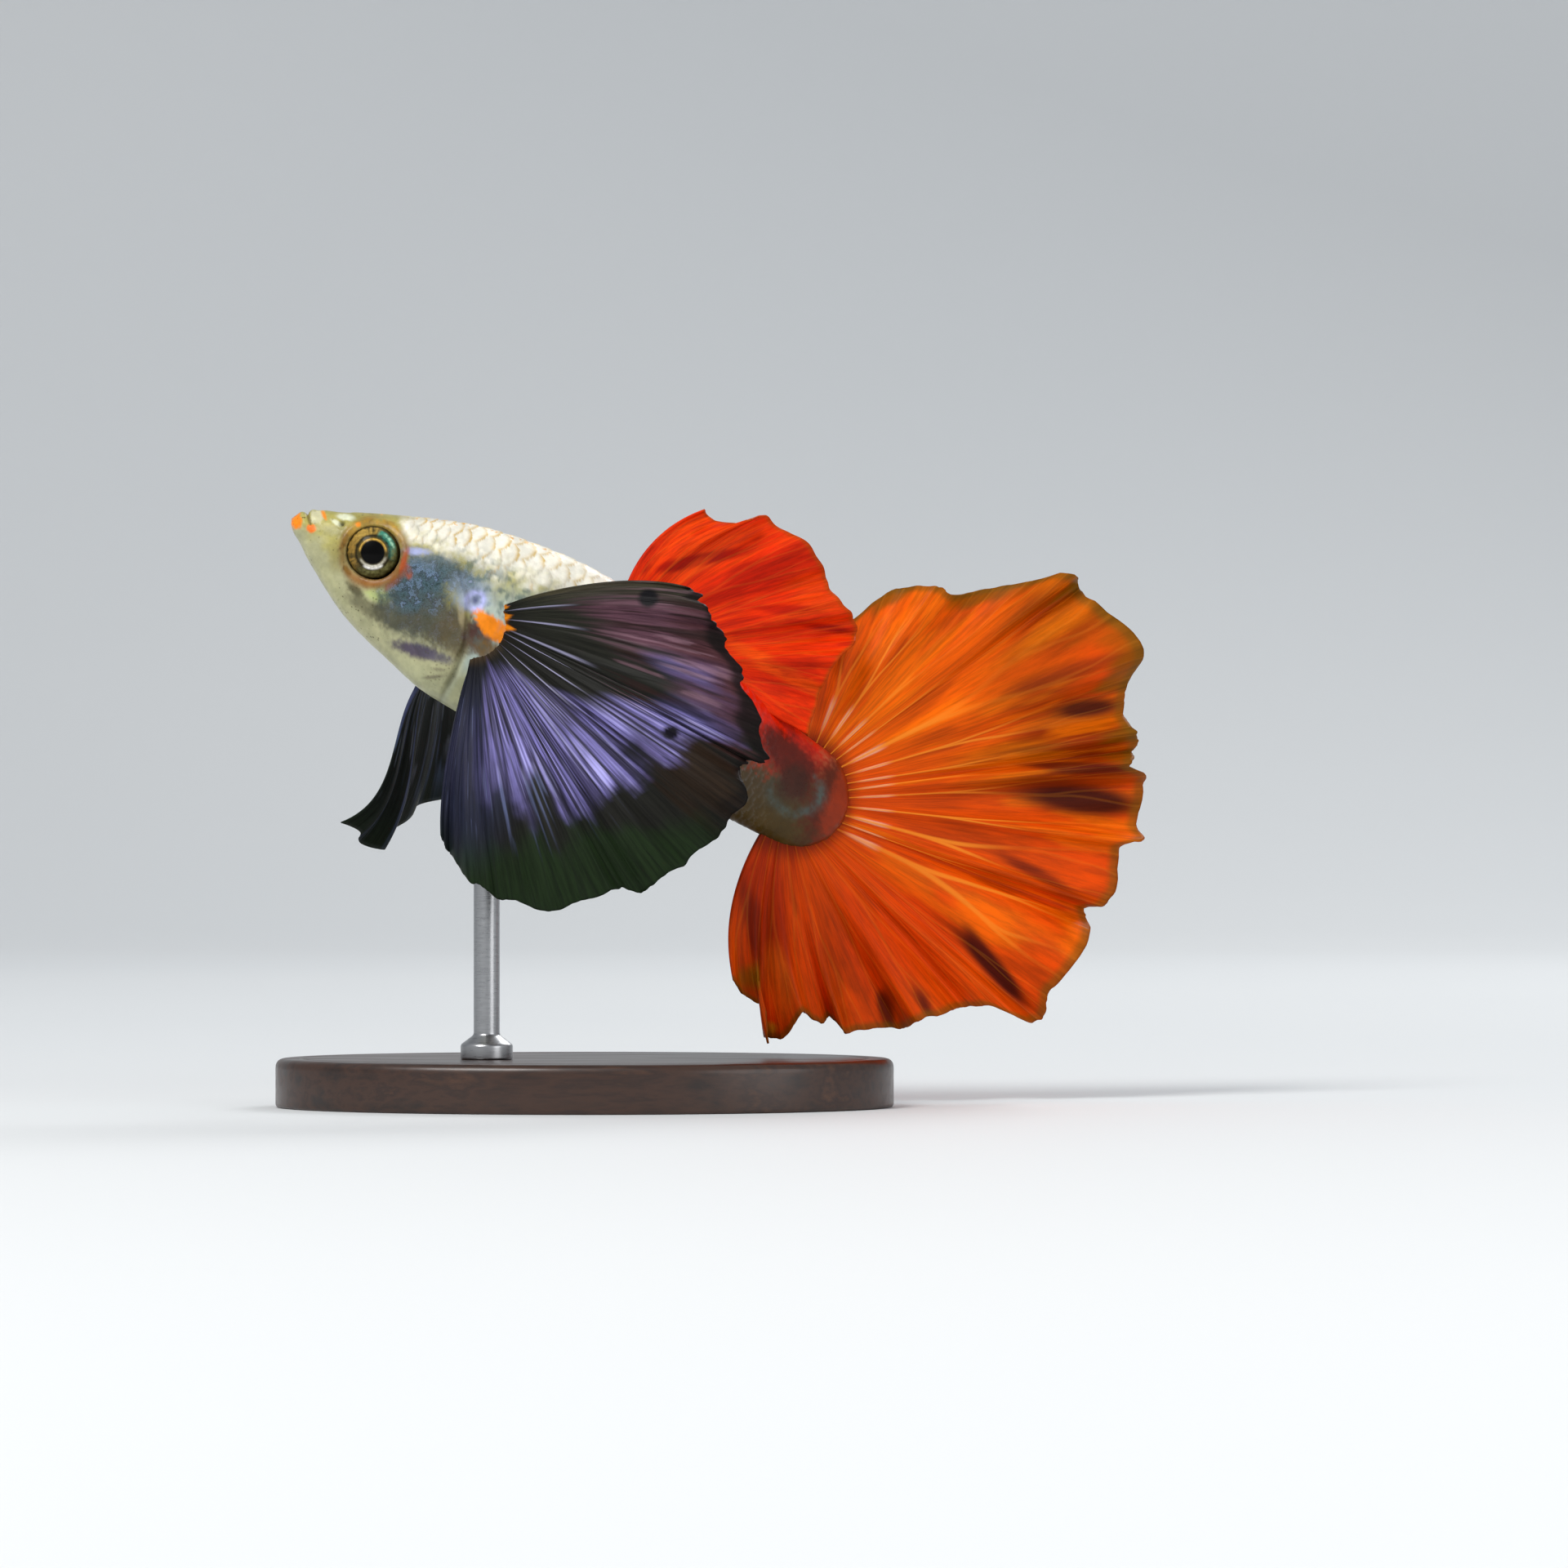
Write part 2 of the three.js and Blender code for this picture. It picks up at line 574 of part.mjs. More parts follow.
function headSolid() {
  let head = warped(body, flareOfGill).intersect(beforeGill);
  const { radius, depth } = EYE;
  const [topX, topZ] = MOUTH.top;
  const [cornerX, cornerZ] = MOUTH.corner;
  for (const side of [-1, 1]) {
    const rim = new THREE.TorusGeometry(EYE_RIM.radius, EYE_RIM.tube, 5, 20);
    rim.rotateX(Math.PI / 2);
    rim.translate(EYE.x, side * EYE_RIM.w, EYE.z);
    head = head.add(solidOf(rim));
    const groove = PREOPERCLE.map(([x, z]) => [x, side * (halfWidthAt(x, z) + GROOVE.out), z]);
    head = head.subtract(tube(groove, GROOVE.radius, 6, 10));
    const nostrilW = halfWidthAt(NOSTRIL.x, NOSTRIL.z);
    const r = NOSTRIL.radius;
    head = head.subtract(ball(NOSTRIL.x, side * nostrilW, NOSTRIL.z, r, r, r, 10));
  }
  head = head.add(lip(-LIP.out, LIP.upperTurn)).add(lip(LIP.out, LIP.lowerTurn));
  const cleft = [
    [topX - MOUTH.open / 2, topZ + MOUTH.over],
    [topX + MOUTH.open / 2, topZ + MOUTH.over],
    [cornerX + MOUTH.end / 2, cornerZ],
    [cornerX - MOUTH.end / 2, cornerZ],
  ];
  head = head.subtract(prism(cleft, HALF_DEPTH));
  for (const side of [-1, 1]) {
    const socket = radius + GAP;
    head = head.subtract(ball(EYE.x, side * EYE.w, EYE.z, socket, depth + GAP, socket, 20));
  }
  return largest(head);
}

// One lip, along the line where a plane beside the cleft leaves the snout, as far round as turn says.
function lip(offset, turn) {
  const [topX, topZ] = MOUTH.top;
  const [cornerX, cornerZ] = MOUTH.corner;
  const length = Math.hypot(cornerX - topX, cornerZ - topZ);
  const across = [-(cornerZ - topZ) / length, (cornerX - topX) / length];
  const beside = ([x, , z]) => (x - topX) * across[0] + (z - topZ) * across[1] - offset;
  const points = [];
  for (let i = -LIP.points; i <= LIP.points; i++) {
    const angle = (i / LIP.points) * radians(turn);
    let low = 0;
    let high = 4;
    for (let k = 0; k < 30; k++) {
      const middle = (low + high) / 2;
      if (beside(skin(middle, angle, 0)) < 0) low = middle;
      else high = middle;
    }
    points.push(skin(low, angle, -LIP.sunk));
  }
  return tube(points, LIP.radius, 6, 12);
}

// The line that parts the trunk from the tail root, moved back by a distance.
function peduncleLine(by) {
  const { x, z, lean, half } = PEDUNCLE_CUT;
  return [
    [x + by - lean, z + by / 2 - half],
    [x + by + lean, z + by / 2 + half],
  ];
}

const trunkRegion = prism([...peduncleLine(-GAP / 2), [-FAR, HIGH], [-FAR, 0]], HALF_DEPTH);
const rearRegion = prism([...peduncleLine(GAP / 2), [FAR, HIGH], [FAR, 0]], HALF_DEPTH);

const materials = {
  skin: new THREE.MeshStandardMaterial({ color: 0xd9d6b4, roughness: 0.35, metalness: 0.1 }),
  eye: new THREE.MeshStandardMaterial({ color: 0x15130f, roughness: 0.1, metalness: 0 }),
  dark_fin: new THREE.MeshStandardMaterial({ color: 0x3b3563, roughness: 0.4, metalness: 0.15 }),
  bright_fin: new THREE.MeshStandardMaterial({ color: 0xe4490b, roughness: 0.45, metalness: 0 }),
  clear_fin: new THREE.MeshStandardMaterial({ color: 0xc9b68c, roughness: 0.4, metalness: 0 }),
  steel: new THREE.MeshStandardMaterial({ color: 0x9a9a9c, roughness: 0.3, metalness: 1 }),
  base: new THREE.MeshStandardMaterial({ color: 0x2b1d14, roughness: 0.4, metalness: 0 }),
};

const guppy = new THREE.Group();

function place(name, solid, material) {
  const mesh = solid.getMesh();
  const geometry = new THREE.BufferGeometry();
  const positions = new Float32Array(mesh.numVert * 3);
  for (let i = 0; i < mesh.numVert; i++) {
    positions.set(mesh.vertProperties.subarray(i * mesh.numProp, i * mesh.numProp + 3), i * 3);
  }
  geometry.setAttribute("position", new THREE.BufferAttribute(positions, 3));
  geometry.setIndex(new THREE.BufferAttribute(mesh.triVerts, 1));
  geometry.computeVertexNormals();
  const node = new THREE.Mesh(geometry, material);
  node.name = name;
  guppy.add(node);
}

const placeBent = (name, solid, material) => place(name, warped(solid, bend), material);

placeBent("head", headSolid(), materials.skin);
placeBent("trunk", largest(body.intersect(behindGill).intersect(trunkRegion)), materials.skin);
placeBent("tail_root", largest(body.intersect(rearRegion)), materials.skin);

for (const [name, side] of [["eye_left", -1], ["eye_right", 1]]) {
  const { x, z, w, radius, depth } = EYE;
  placeBent(name, ball(x, side * w, z, radius, depth, radius, 20), materials.eye);
}

const rooted = (sheet) => largest(sheet.subtract(grownBody));
placeBent("caudal_fin", rooted(fin(CAUDAL, caudalPoint)), materials.bright_fin);
placeBent("dorsal_fin", rooted(fin(DORSAL, dorsalPoint)), materials.bright_fin);

const stay = (x, w, z) => [x + FISH_X, w + FISH_Y, z];
const leftSheet = rooted(fin(PECTORAL, leftPectoralPoint));
const rightSheet = rooted(fin(PECTORAL, rightPectoralPoint));
place("pectoral_fin_left", warped(leftSheet, stay), materials.dark_fin);
place("pectoral_fin_right", warped(rightSheet, stay), materials.dark_fin);
for (const [name, side] of [["pelvic_fin_left", -1], ["pelvic_fin_right", 1]]) {
  placeBent(name, rooted(fin(PELVIC, pelvicPoint(side))), materials.clear_fin);
}

function gonopodiumSolid() {
  const { sides, rings, flat } = GONOPODIUM_MESH;
  const points = [];
  const triangles = [];
  const value = (key, t) => through(GONOPODIUM.map((row) => row[key]), t);
  for (let i = 0; i <= rings; i++) {
    const t = (i / rings) * (GONOPODIUM.length - 1);
    const dx = value("x", t + 0.05) - value("x", t - 0.05);
    const dz = value("z", t + 0.05) - value("z", t - 0.05);
    const length = Math.hypot(dx, dz);
    for (let j = 0; j < sides; j++) {
      const angle = (2 * Math.PI * j) / sides;
      const n = value("radius", t) * Math.cos(angle);
      points.push([
        value("x", t) - (dz / length) * n,
        flat * value("radius", t) * Math.sin(angle),
        value("z", t) + (dx / length) * n,
      ]);
    }
  }
  for (let j = 0; j < sides; j++) {
    const k = (j + 1) % sides;
    for (let i = 0; i < rings; i++) {
      const a = i * sides + j;
      const b = i * sides + k;
      triangles.push(a, b, b + sides, a, b + sides, a + sides);
    }
    if (j > 0 && j < sides - 1) {
      triangles.push(0, j + 1, j, rings * sides, rings * sides + j, rings * sides + j + 1);
    }
  }
  return solidOf(geometryOf(points, triangles));
}

placeBent("gonopodium", rooted(gonopodiumSolid()), materials.clear_fin);

// The display stand

function standBase() {
  const { length, width, height, bevel } = BASE;
  const shape = new THREE.Shape();
  shape.absellipse(0, 0, length / 2 - bevel, width / 2 - bevel, 0, 2 * Math.PI);
  const geometry = new THREE.ExtrudeGeometry(shape, {
    depth: height - 2 * bevel,
    bevelThickness: bevel,
    bevelSize: bevel,
    bevelSegments: 1,
    curveSegments: 24,
  });
  geometry.translate(0, 0, bevel);
  return solidOf(geometry);
}

// A rod with a collar at its foot, cut off where it meets the fish.
function standRod(grownFish) {
  const { x, radius, collar, collarHeight, cone, top, sides } = ROD;
  const [footX, footY] = bend(x, 0, 0);
  const foot = BASE.height + GAP;
  const profile = [
    [0, foot],
    [collar, foot],
    [collar, foot + collarHeight],
    [radius, foot + collarHeight + cone],
    [radius, top],
    [0, top],
  ];
  const geometry = new THREE.LatheGeometry(profile.map(([r, z]) => new THREE.Vector2(r, z)), sides);
  geometry.rotateX(Math.PI / 2);
  geometry.translate(footX, footY, 0);
  const pieces = solidOf(geometry).subtract(grownFish).decompose();
  const lowest = (piece) => piece.boundingBox().min[2];
  return pieces.reduce((best, piece) => (lowest(piece) < lowest(best) ? piece : best));
}

place("stand_base", standBase(), materials.base);
place("stand_rod", standRod(warped(grownBody, bend)), materials.steel);

export default guppy;
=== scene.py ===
"""The dress and the studio of the fancy guppy on its stand.

Shapes are worked out in millimetres, in the straight fish's own frame, as in the solids: the head
points to -x, w is the sideways distance from the middle plane, and z is up. bend() swings the rear half.
"""

import math

import bpy
import numpy as np
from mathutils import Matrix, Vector


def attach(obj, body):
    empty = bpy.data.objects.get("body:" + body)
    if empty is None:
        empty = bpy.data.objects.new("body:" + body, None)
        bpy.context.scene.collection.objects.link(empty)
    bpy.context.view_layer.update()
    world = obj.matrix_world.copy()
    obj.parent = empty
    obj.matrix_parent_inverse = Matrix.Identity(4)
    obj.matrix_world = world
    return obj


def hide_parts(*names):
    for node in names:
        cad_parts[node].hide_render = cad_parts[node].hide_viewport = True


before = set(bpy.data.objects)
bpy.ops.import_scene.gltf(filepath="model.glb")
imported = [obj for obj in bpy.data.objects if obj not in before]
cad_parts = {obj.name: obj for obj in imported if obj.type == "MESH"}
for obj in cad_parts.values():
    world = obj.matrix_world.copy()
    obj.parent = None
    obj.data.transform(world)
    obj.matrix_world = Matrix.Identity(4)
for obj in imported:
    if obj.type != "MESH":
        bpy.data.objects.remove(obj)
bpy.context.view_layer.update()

MM = 0.001
SIDES = {"left": -1, "right": 1}
FISH_X = -0.75
FISH_Y = -2.0

# Each row is a section of the body: its middle's x and z, its height above and below that, its half width and
# how square its back is.
BODY = np.array(
    [
        (-16.95, 36.0, 0.55, 0.35, 0.7, 0.5),
        (-16.6, 35.7, 1.05, 0.65, 1.1, 0.5),
        (-16.0, 35.25, 1.7, 0.95, 1.45, 0.5),
        (-15.0, 34.45, 2.5, 1.55, 1.9, 0.55),
        (-12.5, 32.85, 4.0, 3.0, 2.55, 0.5),
        (-10.0, 31.45, 5.05, 3.95, 3.0, 0.4),
        (-7.0, 30.1, 5.75, 5.05, 3.3, 0.3),
        (-4.5, 29.0, 6.0, 5.35, 3.35, 0.2),
        (-2.0, 27.85, 6.1, 5.1, 3.2, 0.1),
        (3.0, 25.35, 5.6, 4.2, 2.65, 0.0),
        (8.0, 22.6, 4.25, 3.5, 1.95, 0.0),
        (12.0, 20.2, 3.55, 3.3, 1.4, 0.0),
        (14.25, 18.85, 3.3, 3.1, 1.05, 0.0),
        (15.5, 18.1, 2.6, 2.5, 0.8, 0.0),
        (16.3, 17.65, 1.5, 1.45, 0.6, 0.0),
    ]
)
SNOUT_TIP = (-17.15, 0.0, 36.1)
TAIL_ROOT_TIP = (16.7, 0.0, 17.4)
HEAD_END = -6.0
HEAD_STEP = 0.075  # between rows of the skin's mesh
TRUNK_STEP = 0.11
SKIN_SIDES = 248
BOXY_POWER = 1.6  # how square a section's back is where its boxiness is 1

# Points down the gill cover's rear edge, and down the fold on the cheek in front of it.
GILL_EDGE = np.array(
    [(-8.1, 38.0), (-7.9, 35.4), (-6.9, 33.2), (-6.35, 31.0), (-6.45, 28.6), (-7.3, 26.4), (-9.2, 23.5)]
)
PREOPERCLE = [(-10.3, 32.6), (-10.5, 30.8), (-10.1, 29.0), (-9.2, 27.6)]
EYE = {"x": -12.03, "z": 33.95, "w": 1.85, "radius": 1.62, "depth": 1.15, "socket": 1.68}
EYE_RINGS = 72
EYE_SPOKES = 128
NOSTRIL = (-13.95, 35.75)
SHOULDER_SPOT = (-5.77, 31.0)
TAIL_RING = {"x": 13.25, "z": 19.6, "radius": 1.6}
MOUTH_TOP = (-16.3, 36.9)
MOUTH_CORNER = (-15.75, 35.15)

SCALE_ROWS = 8  # down each flank
SCALE_LENGTH = 0.85  # as a share of a scale's height
SCALE_PITCH = 0.5  # along the body, in scale lengths
SCALE_REACH = 0.62  # the radius of a scale's rear edge, in scale lengths
SCALE_HEIGHT = 0.06
SCALE_RIM = 0.13  # the width of the darker rim, in scale lengths
SCALE_LAYERS = 5  # rows of scales looked through at each point
FAR = 99.0  # further than anything on the fish

# How high each form stands over the skin, or how deep it is cut into it.
RELIEF = {
    "gill_flare": 0.17, "gill_slit": 0.09, "cheek_fold": 0.07, "eye_rim": 0.07, "socket": 0.95,
    "nostril_rim": 0.04, "nostril": 0.2, "lips": 0.1, "cleft": 0.2, "lobe": 0.28, "pitting": 0.035,
}  # fmt: skip

SWING = {"from": -4.0, "to": 10.0, "slope": 0.55, "ease_from": 13.0, "ease_to": 20.0, "tail_slope": 0.3}

# A fan's margin is a list of angles in degrees and reaches from its middle. A ruffle or a crimp is its size,
# its half waves over the fin and where it starts, in radians.
CAUDAL = {"x": 13.25, "z": 19.35, "root": 2.7, "rays": 24, "bow": 0.9, "drift": 1.2, "drift_share": 0.16}
CAUDAL_MARGIN = [
    (97, 7.7), (85, 9.0), (76, 10.4), (68, 11.7), (57.5, 15.5), (52, 15.9), (42.6, 19.1), (37.5, 22.5),
    (33.5, 22.5), (22.2, 23.7), (16, 22.2), (10, 21.9), (7.3, 22.4), (5, 21.2), (2, 22.6), (-6.6, 22.4),
    (-9.5, 21.4), (-19, 21.3), (-21, 20.2), (-24, 21.0), (-37, 20.4), (-42.5, 21.4), (-46.5, 18.5),
    (-51, 17.4), (-60.6, 16.2), (-65, 16.3), (-77, 15.1), (-80, 14.3), (-88, 13.7), (-91.5, 15.3),
    (-95, 15.3), (-97.5, 13.4), (-107, 12.3),
]  # fmt: skip
CAUDAL_ROOT_ANGLES = (81, -124)
CAUDAL_RUFFLES = [(0.75, 29.8, -8.77), (0.4, 17.1, -4.04)]
CAUDAL_CRIMP = (0.16, 67, 2.0)
# A margin's small notches, and how far it stands out at its rays.
CAUDAL_NOTCHES = {"size": 0.8, "grain": 2.6, "seed": 1, "octaves": 4, "scallop": 0.14}

# A root is a line from the first ray's foot to the last one's, and sinks into the body.
DORSAL = {"rays": 9, "root": [(3.6, 32.35), (8.6, 27.6)], "sink": (0.47, 0.88), "bow": 0.595, "drift": -1.7}
DORSAL_MARGIN = [
    (8.1, 36.75), (8.7, 36.1), (9.5, 35.9), (10.4, 36.15), (11.6, 36.45), (12.5, 35.6), (13.4, 35.0),
    (14.4, 33.85), (15.2, 32.75), (15.3, 31.9), (15.8, 31.0), (16.6, 30.25), (17.1, 29.4), (16.7, 28.6),
    (15.4, 27.6), (14.9, 26.3), (14.5, 25.0), (13.6, 22.9),
]  # fmt: skip
DORSAL_RUFFLE = (0.5, 9, 0.4)
DORSAL_CRIMP = (0.1, 31, 0.0)

ROOT_SLANT = 0.3  # how far a paired fin's root runs forward for each millimetre that it sinks
PECTORAL = {"rays": 14, "x": -5.0, "z": 29.25, "w": 3.1, "root": [(-4.4, 30.4), (-5.5, 27.9)], "sink": 1.1}
PECTORAL_LOBE = {"long": 1.15, "high": 1.8, "soft": 1.2}
LEFT_MARGIN = [
    (11.3, 12.7), (6.4, 13.3), (-0.6, 14.1), (-12.2, 16.0), (-24.8, 18.8), (-28, 17.4), (-34, 18.8),
    (-41.6, 18.8), (-50.2, 18.5), (-58.6, 18.4), (-64, 17.5), (-74.5, 17.6), (-84.8, 16.5), (-91.8, 15.5),
    (-98, 14.0), (-102, 12.9),
]  # fmt: skip
# How far the left fin stands out at its ends, more in its middle, and how its rays rise and sag on their way.
LEFT = {"out": 4.2, "middle_out": 2.6, "root_out": 2.4, "bulge": 1.02, "lift": 1.5, "sag": 0.75}
LEFT_SHARES = (0.15, 0.68)  # where along the rays their curve is steered
LEFT_RUFFLE = (0.55, 13, 0.7)
LEFT_CRIMP = (0.1, 47, 0.0)
LEFT_NOTCHES = {"size": 0.35, "grain": 3.5, "seed": 2, "octaves": 3, "scallop": 0.1}
LEFT_UPPER_NOTCHES = 0.9  # how much larger they get on the upper rays
# The right fin hangs free: its margin, then the points that steer its first and its last ray.
RIGHT_MARGIN = [
    (-6.3, 17.2, 27.4), (-6.6, 18.4, 24.2), (-7.0, 18.0, 21.4), (-7.6, 16.6, 19.6),
    (-8.4, 15.4, 19.0), (-10.5, 14.3, 18.2), (-11.85, 13.2, 16.7), (-12.6, 12.2, 15.75),
    (-13.35, 11.2, 16.4), (-14.7, 10.0, 17.45),
]  # fmt: skip
RIGHT_NEAR = [(-5.2, 8.2, 30.2), (-12.8, 5.6, 27.0)]
RIGHT_FAR = [(-6.0, 13.6, 29.0), (-9.4, 8.6, 19.4)]
RIGHT_RUFFLE = (0.45, 11, 0.0)

PELVIC = {"rays": 5, "root": [(-3.7, 23.4), (-2.5, 22.9)], "w": 1.0, "sink": 0.9, "spread": 1.3}
PELVIC_MARGIN = [(-1.2, 18.2), (0.2, 17.6), (1.2, 18.4), (1.9, 19.6)]
PELVIC_RUFFLE = (0.15, 4, 0.0)
FIN_THICKNESS = (0.3, 0.1)  # at the root and at the margin
RAY = {"height": 0.05, "width": 0.16, "taper": 0.7}
# Points down the gonopodium, with its radius at each.
GONOPODIUM = np.array(
    [(0.4, 22.9, 0.62), (1.5, 21.0, 0.55), (3.2, 19.6, 0.45), (4.9, 18.5, 0.36), (5.9, 18.1, 0.3)]
)

BASE = {"length": 38.0, "width": 24.0, "height": 3.0, "bevel": 0.6, "groove": 1.5, "groove_depth": 0.12}
BASE_INSET = 4.0  # from the groove to the flat disc that closes the top
TURNED_SIDES = 128
ROD = {"radius": 0.8, "collar": 1.6, "collar_height": 0.9, "cone": 0.6, "x": -5.2, "top": 25.2}

MODEL_MIDDLE = (0.0, 0.0, 0.025)  # in metres
CAMERA = {"place": (13.0, -480.0, 19.85), "lens": 180.0}

# Small maths


def lerp(a, b, t):
    return a + (b - a) * t


def smooth(t):
    c = np.clip(t, 0.0, 1.0)
    return c * c * (3.0 - 2.0 * c)


def rise(value, start, width):
    """0 up to the start, then smoothly up to 1 over the width."""
    return smooth((value - start) / width)


def fall(value, end, width):
    """1, then smoothly down over the width to 0 at the end."""
    return smooth((end - value) / width)


def ridge(value, at, width):
    """1 where a value lies at a place, fading to 0 on both sides."""
    return np.exp(-(((value - at) / width) ** 2))


def wave(u, shape):
    size, half_waves, start = shape
    return size * np.sin(half_waves * math.pi * u + start)


def circle(count):
    return np.linspace(0, 2 * math.pi, count, endpoint=False)


def xyz(x, w, z):
    return np.stack(np.broadcast_arrays(x, w, z), axis=-1)


def through(values, t):
    """A monotone cubic through the values, with one value for each whole number of t."""
    values = np.asarray(values, float)
    last = len(values) - 1
    i = np.clip(np.floor(t).astype(int), 0, last - 1)
    f = np.clip(t - i, 0.0, 1.0)
    steps = np.diff(values)
    slopes = np.concatenate([steps[:1], np.zeros(last - 1), steps[-1:]])
    same = steps[:-1] * steps[1:] > 0
    total = np.where(same, steps[:-1] + steps[1:], 1.0)
    slopes[1:-1] = np.where(same, 2.0 * steps[:-1] * steps[1:] / total, 0.0)
    return (
        values[i] * (2 * f**3 - 3 * f**2 + 1)
        + slopes[i] * (f**3 - 2 * f**2 + f)
        + values[i + 1] * (3 * f**2 - 2 * f**3)
        + slopes[i + 1] * (f**3 - f**2)
    )


def along(rows, u):
    """The columns of the rows, with u from 0 at the first row to 1 at the last."""
    rows = np.asarray(rows, float)
    return [through(rows[:, k], u * (len(rows) - 1)) for k in range(rows.shape[1])]


def heading(rows, t, step):
    """The direction of a curve seen from the side, as the x and z of a line of length 1."""
    dx, dz = (through(rows[:, k], t + step) - through(rows[:, k], t - step) for k in (0, 1))
    length = np.hypot(dx, dz)
    return dx / length, dz / length


def noise(x, y, seed=0):
    """Smooth noise from 0 to 1 with a cell of size 1."""
    i = np.floor(x)
    j = np.floor(y)

    def corner(a, b):
        return np.modf(np.abs(np.sin((i + a) * 127.1 + (j + b) * 311.7 + seed * 74.7) * 43758.5453))[0]

    fx = smooth(x - i)
    fy = smooth(y - j)
    return lerp(lerp(corner(0, 0), corner(1, 0), fx), lerp(corner(0, 1), corner(1, 1), fx), fy)


def cloud(x, y, seed=0, octaves=4):
    """Noise of several sizes, from 0 to 1."""
    total = sum(noise(x * 2**k, y * 2**k, seed + k) / 2**k for k in range(octaves))
    return total / (2 - 0.5 ** (octaves - 1))


def hue(code):
    """A colour written as on a screen, as linear light."""
    channels = np.array([int(code[k : k + 2], 16) for k in (1, 3, 5)]) / 255.0
    return np.where(channels <= 0.04045, channels / 12.92, ((channels + 0.055) / 1.055) ** 2.4)


def rgba(code):
    return (*hue(code), 1.0)


def distance(x, z, at):
    return np.hypot(x - at[0], z - at[1])


def blob(x, z, at, size, edge=0.5):
    """1 inside an ellipse round a point, fading to 0 over the edge."""
    r = np.hypot((x - at[0]) / size[0], (z - at[1]) / size[1])
    return smooth((1.0 + edge / 2 - r) / edge)


def band(value, low, high, edge):
    """1 between two values, fading to 0 over the edge at both."""
    return smooth((value - low) / edge + 0.5) * smooth((high - value) / edge + 0.5)


class Paint:
    """Colours laid over one another, at each point of a grid."""

    def __init__(self, like, code):
        self.colours = np.zeros(like.shape + (3,)) + hue(code)

    def lay(self, code, weight):
        """Lays a colour over the others, as strongly as the weight says."""
        w = np.clip(weight, 0.0, 1.0)[..., None]
        self.colours = self.colours * (1 - w) + hue(code) * w

    def marks(self, x, z, rows, ragged=None):
        """Lays soft marks, with a noise of two sizes at their edges unless another is given."""
        if ragged is None:
            ragged = 0.35 * (cloud(x * 1.9, z * 1.9, 13) - 0.5) + 0.55 * (cloud(x * 6, z * 6, 14) - 0.5)
        for code, mark_x, mark_z, long, high, tilt, edge, strength in rows:
            c = math.cos(math.radians(tilt))
            s = math.sin(math.radians(tilt))
            dx, dz = x - mark_x, z - mark_z
            r = np.hypot((dx * c + dz * s) / long, (dz * c - dx * s) / high)
            self.lay(code, smooth((1.0 + edge / 2 + ragged - r) / edge) * strength)


def bend(points):
    x, w, z = np.moveaxis(points, -1, 0)
    ease = SWING["slope"] - SWING["tail_slope"]

    def climb(low, high):
        t = np.clip((x - low) / (high - low), 0.0, 1.0)
        return (high - low) * (t**3 - t**4 / 2) + np.maximum(0.0, x - high)

    def turned(low, high):
        return rise(x, low, high - low)

    swing = (SWING["from"], SWING["to"])
    easing = (SWING["ease_from"], SWING["ease_to"])
    side = SWING["slope"] * climb(*swing) - ease * climb(*easing)
    angle = np.arctan(SWING["slope"] * turned(*swing) - ease * turned(*easing))
    return xyz(x - w * np.sin(angle) + FISH_X, side + w * np.cos(angle) + FISH_Y, z)


def stay(points):
    return points + np.array([FISH_X, FISH_Y, 0.0])


def bezier(a, b, c, d, v):
    r = 1.0 - v
    return r**3 * a + 3 * r * r * v * b + 3 * r * v * v * c + v**3 * d


# Meshes


def normals_of(points):
    """The normals of a grid of points, across its first and second index."""
    normals = np.cross(np.gradient(points, axis=0), np.gradient(points, axis=1))
    return normals / np.maximum(np.linalg.norm(normals, axis=-1, keepdims=True), 1e-9)


def put(name, data, place=(0.0, 0.0, 0.0)):
    """A new object in the scene."""
    thing = bpy.data.objects.new(name, data)
    thing.location = place
    bpy.context.scene.collection.objects.link(thing)
    return thing


def smooth_mesh(name, points, faces, material):
    mesh = bpy.data.meshes.new(name)
    mesh.from_pydata(points, [], faces)
    mesh.polygons.foreach_set("use_smooth", np.ones(len(faces), bool))
    mesh.materials.append(material)
    return mesh


def new_piece(name, vertices, faces, material, slot, nodes, attributes):
    """A mesh from millimetres, which rides on the body and stands for the named nodes."""
    mesh = smooth_mesh(name, (vertices.reshape(-1, 3) * MM).tolist(), faces, material)
    for key, values in attributes.items():
        values = values.reshape(-1, 3)
        kind, field = ("FLOAT_VECTOR", "vector") if key == "fan" else ("FLOAT_COLOR", "color")
        if field == "color":
            values = np.concatenate([values, np.ones((len(values), 1))], axis=1)
        layer = mesh.attributes.new(key, kind, "POINT")
        layer.data.foreach_set(field, values.astype(np.float32).ravel())
    piece = put(name, mesh)
    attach(piece, "root")
    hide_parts(*nodes)


def grid_faces(rows, columns, closed=False, flip=False, offset=0):
    """Quads over a grid of points numbered row by row."""
    wide = columns if closed else columns - 1
    i, j = np.meshgrid(np.arange(rows - 1) * columns, np.arange(wide), indexing="ij")
    k = (j + 1) % columns
    quads = np.stack([i + j, i + k, i + columns + k, i + columns + j], axis=-1)
    if flip:
        quads = quads[..., ::-1]
    return (quads.reshape(-1, 4) + offset).tolist()


def tube_faces(rows, columns, flip=False):
    """Quads round a tube, with a flat face at each of its ends."""
    ends = [list(range(columns - 1, -1, -1)), list(range((rows - 1) * columns, rows * columns))]
    if flip:
        ends = [end[::-1] for end in ends]
    return grid_faces(rows, columns, closed=True, flip=flip) + ends


# Materials


